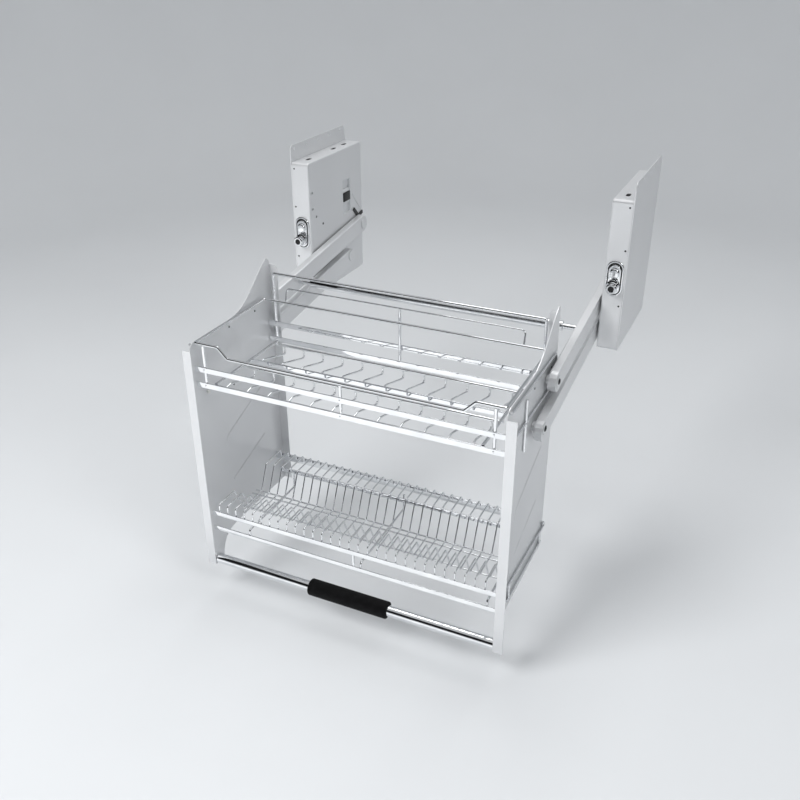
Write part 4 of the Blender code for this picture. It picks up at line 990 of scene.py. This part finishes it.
def force_sliders():
    """The sliding plate in each tray and its ribbed knob."""
    pitch = (KNOB_HIGH[1] - KNOB_LOW[1]) / (KNOB_RIB_COUNT + 1)
    rib_low, rib_high = KNOB_LOW[0] + 2 * KNOB_EDGE, KNOB_HIGH[0] - 2 * KNOB_EDGE
    rib_face, rib_root = KNOB_FACE - KNOB_RIB_RISE, KNOB_FACE + KNOB_EDGE
    for name, side in SIDES.items():
        body = f"slider_{name}"
        plate = slider_block(side, SLIDE_LOW, SLIDE_HIGH, SLIDE_FACE, SLIDE_FLOOR, SLIDE_EDGE)
        add_piece(f"slide_plate_{name}", [plate], body, "grey_plastic", finish=PALE_PLASTIC)
        parts = [
            slider_block(side, KNOB_LOW, KNOB_HIGH, KNOB_FACE, SLIDE_FACE - KNOB_GAP, KNOB_EDGE)
        ]
        for count in range(KNOB_RIB_COUNT):
            middle = KNOB_LOW[1] + pitch * (count + 1)
            low = (rib_low, middle - KNOB_RIB_WIDTH / 2)
            high = (rib_high, middle + KNOB_RIB_WIDTH / 2)
            parts.append(slider_block(side, low, high, rib_face, rib_root, KNOB_RIB_RISE))
        add_piece(f"slide_knob_{name}", parts, body, "black_plastic", f"force_slider_{name}")


# Studio, in metres and degrees
FLOOR_DROP = 0.06
BOWL_HOLE = 0.001
BOWL_RADIUS = 4.2
BOWL_CURVE = 1.5
BOWL_HEIGHT = 4.2
BOWL_STEPS = 72
SWEEP_STEPS = 10
FLAG_RADIUS = 3.1
FLAG_LOW = 0.10
FLAG_HIGH = 2.9
FLAG_MIDDLE = -80.0
FLAG_SPREAD = 115.0
FLAG_STEPS = 40
ROOM_STRENGTH = 0.7
LAMPS = (
    # name, place, size, watts, seen in reflections
    ("key_softbox", (-1.0, -2.3, 2.0), 1.3, 70.0, False),
    ("side_softbox", (2.2, -1.3, 1.8), 1.0, 20.0, True),
    ("top_softbox", (0.0, 0.9, 3.2), 2.0, 40.0, True),
)
CARD_WIDTH = (-1.7, 1.2)
CARD_DEPTH = (-2.1, -0.62)
CARD_LIFT = 0.004
LAMP_AIM = Vector((0.0, -0.25, -0.05))


def stage_sheet(name, rows, dark, light, grain):
    """A matt stage sheet of paper from rows of places."""
    sheet = bmesh.new()
    lines = [[sheet.verts.new(place) for place in row] for row in rows]
    for line, after in zip(lines, lines[1:]):
        for here, there, there_after, here_after in zip(line, line[1:], after[1:], after):
            sheet.faces.new((here, there, there_after, here_after))
    mesh = bpy.data.meshes.new(name)
    sheet.to_mesh(mesh)
    sheet.free()
    mesh.shade_smooth()
    item = bpy.data.objects.new(name, mesh)
    bpy.context.scene.collection.objects.link(item)
    surface, tree, shader, place = new_surface(f"{name}_paper", Roughness=0.95)
    # Matt pressed paper gives the eye an even ground, a little cloudy
    cloud = add_node(
        tree, "ShaderNodeTexNoise",
        {"Scale": pattern_scale(grain), "Detail": 4.0},
        {"Vector": place},
    )
    tone = add_node(
        tree, "ShaderNodeValToRGB",
        links={"Fac": cloud.outputs["Fac"]},
        stops=((0.0, dark), (1.0, light)),
    )
    tree.links.new(tone.outputs["Color"], shader.inputs["Base Color"])
    mesh.materials.append(surface)
    return item


def round_about(radius, degrees, height):
    """A place at a distance from the Z axis."""
    angle = math.radians(degrees)
    return (radius * math.cos(angle), radius * math.sin(angle), height)


def studio_floor():
    """A pale paper bowl all round, and two sheets that only reflections see.

    The black flag in front gives the chrome its dark lines, and the white card on the floor
    gives it the pale ones.
    """
    level = CAD_BOX[0][2] - FLOOR_DROP
    profile = [(BOWL_HOLE, level)]
    for step in range(SWEEP_STEPS + 1):
        angle = math.pi / 2 * step / SWEEP_STEPS
        radius = BOWL_RADIUS - BOWL_CURVE * (1 - math.sin(angle))
        profile.append((radius, level + BOWL_CURVE * (1 - math.cos(angle))))
    profile.append((BOWL_RADIUS, level + BOWL_HEIGHT))
    turns = [360 * step / BOWL_STEPS for step in range(BOWL_STEPS + 1)]
    rows = [[round_about(radius, turn, height) for radius, height in profile] for turn in turns]
    stage_sheet("paper_bowl", rows, FLOOR_DARK, FLOOR_LIGHT, PAPER_CLOUD)
    rows = []
    for step in range(FLAG_STEPS + 1):
        turn = FLAG_MIDDLE + FLAG_SPREAD * (2 * step / FLAG_STEPS - 1)
        rows.append([round_about(FLAG_RADIUS, turn, height) for height in (FLAG_LOW, FLAG_HIGH)])
    flag = stage_sheet("black_flag", rows, FLAG_BLACK, FLAG_BLACK_LIGHT, FLAG_CLOUD)
    rows = [[(x, y, level + CARD_LIFT) for y in CARD_DEPTH] for x in CARD_WIDTH]
    card = stage_sheet("white_card", rows, CARD_SHADE, CARD_WHITE, PAPER_CLOUD)
    for sheet in (flag, card):
        sheet.visible_camera = sheet.visible_diffuse = sheet.visible_shadow = False


def studio_light():
    """A room that is pale overhead and dark at eye level, and three soft lamps."""
    world = bpy.data.worlds.new("studio_room")
    world.use_nodes = True
    bpy.context.scene.world = world
    tree = world.node_tree
    direction = add_node(tree, "ShaderNodeTexCoord").outputs["Generated"]
    height = add_node(tree, "ShaderNodeSeparateXYZ", links={"Vector": direction})
    share = add_node(
        tree, "ShaderNodeMapRange",
        {"From Min": -1.0, "From Max": 1.0},
        {"Value": height.outputs["Z"]},
    )
    tone = add_node(
        tree, "ShaderNodeValToRGB", links={"Fac": share.outputs["Result"]}, stops=ROOM_TONES
    )
    backdrop = tree.nodes["Background"]
    tree.links.new(tone.outputs["Color"], backdrop.inputs["Color"])
    backdrop.inputs["Strength"].default_value = ROOM_STRENGTH
    for name, place, size, watts, mirrored in LAMPS:
        lamp = bpy.data.lights.new(name, "AREA")
        lamp.size = size
        lamp.energy = watts
        item = bpy.data.objects.new(name, lamp)
        item.visible_glossy = mirrored
        item.location = place
        item.rotation_euler = (LAMP_AIM - Vector(place)).to_track_quat("-Z", "Y").to_euler()
        bpy.context.scene.collection.objects.link(item)


# The photograph's camera
CAMERA_PLACE = (0.6812, -1.7147, 0.7917)
CAMERA_YAW = 24.9
CAMERA_PITCH = 28.3
CAMERA_ROLL = -0.16
CAMERA_FOCAL_PIXELS = 893.67
PICTURE_PIXELS = 800
SENSOR_WIDTH = 36.0
CAMERA_REACH = 100.0


def photo_camera():
    """The camera that took the photograph, as worked out from it."""
    data = bpy.data.cameras.new("photo_camera")
    data.sensor_fit = "HORIZONTAL"
    data.sensor_width = SENSOR_WIDTH
    data.lens = CAMERA_FOCAL_PIXELS / PICTURE_PIXELS * SENSOR_WIDTH
    data.clip_end = CAMERA_REACH
    camera = bpy.data.objects.new("photo_camera", data)
    yaw = Matrix.Rotation(math.radians(CAMERA_YAW), 4, "Z")
    tilt = Matrix.Rotation(math.radians(90 - CAMERA_PITCH), 4, "X")
    roll = Matrix.Rotation(math.radians(CAMERA_ROLL), 4, "Z")
    camera.matrix_world = Matrix.Translation(CAMERA_PLACE) @ yaw @ tilt @ roll
    bpy.context.scene.collection.objects.link(camera)
    bpy.context.scene.camera = camera


photo_camera()
dress_nodes()
upper_basket()
cup_floor()
plate_rack()
outer_rails()
tubes()
front_fittings()
fasteners()
bead_edges()
force_sliders()
studio_floor()
studio_light()
bpy.context.scene.view_settings.view_transform = "Standard"
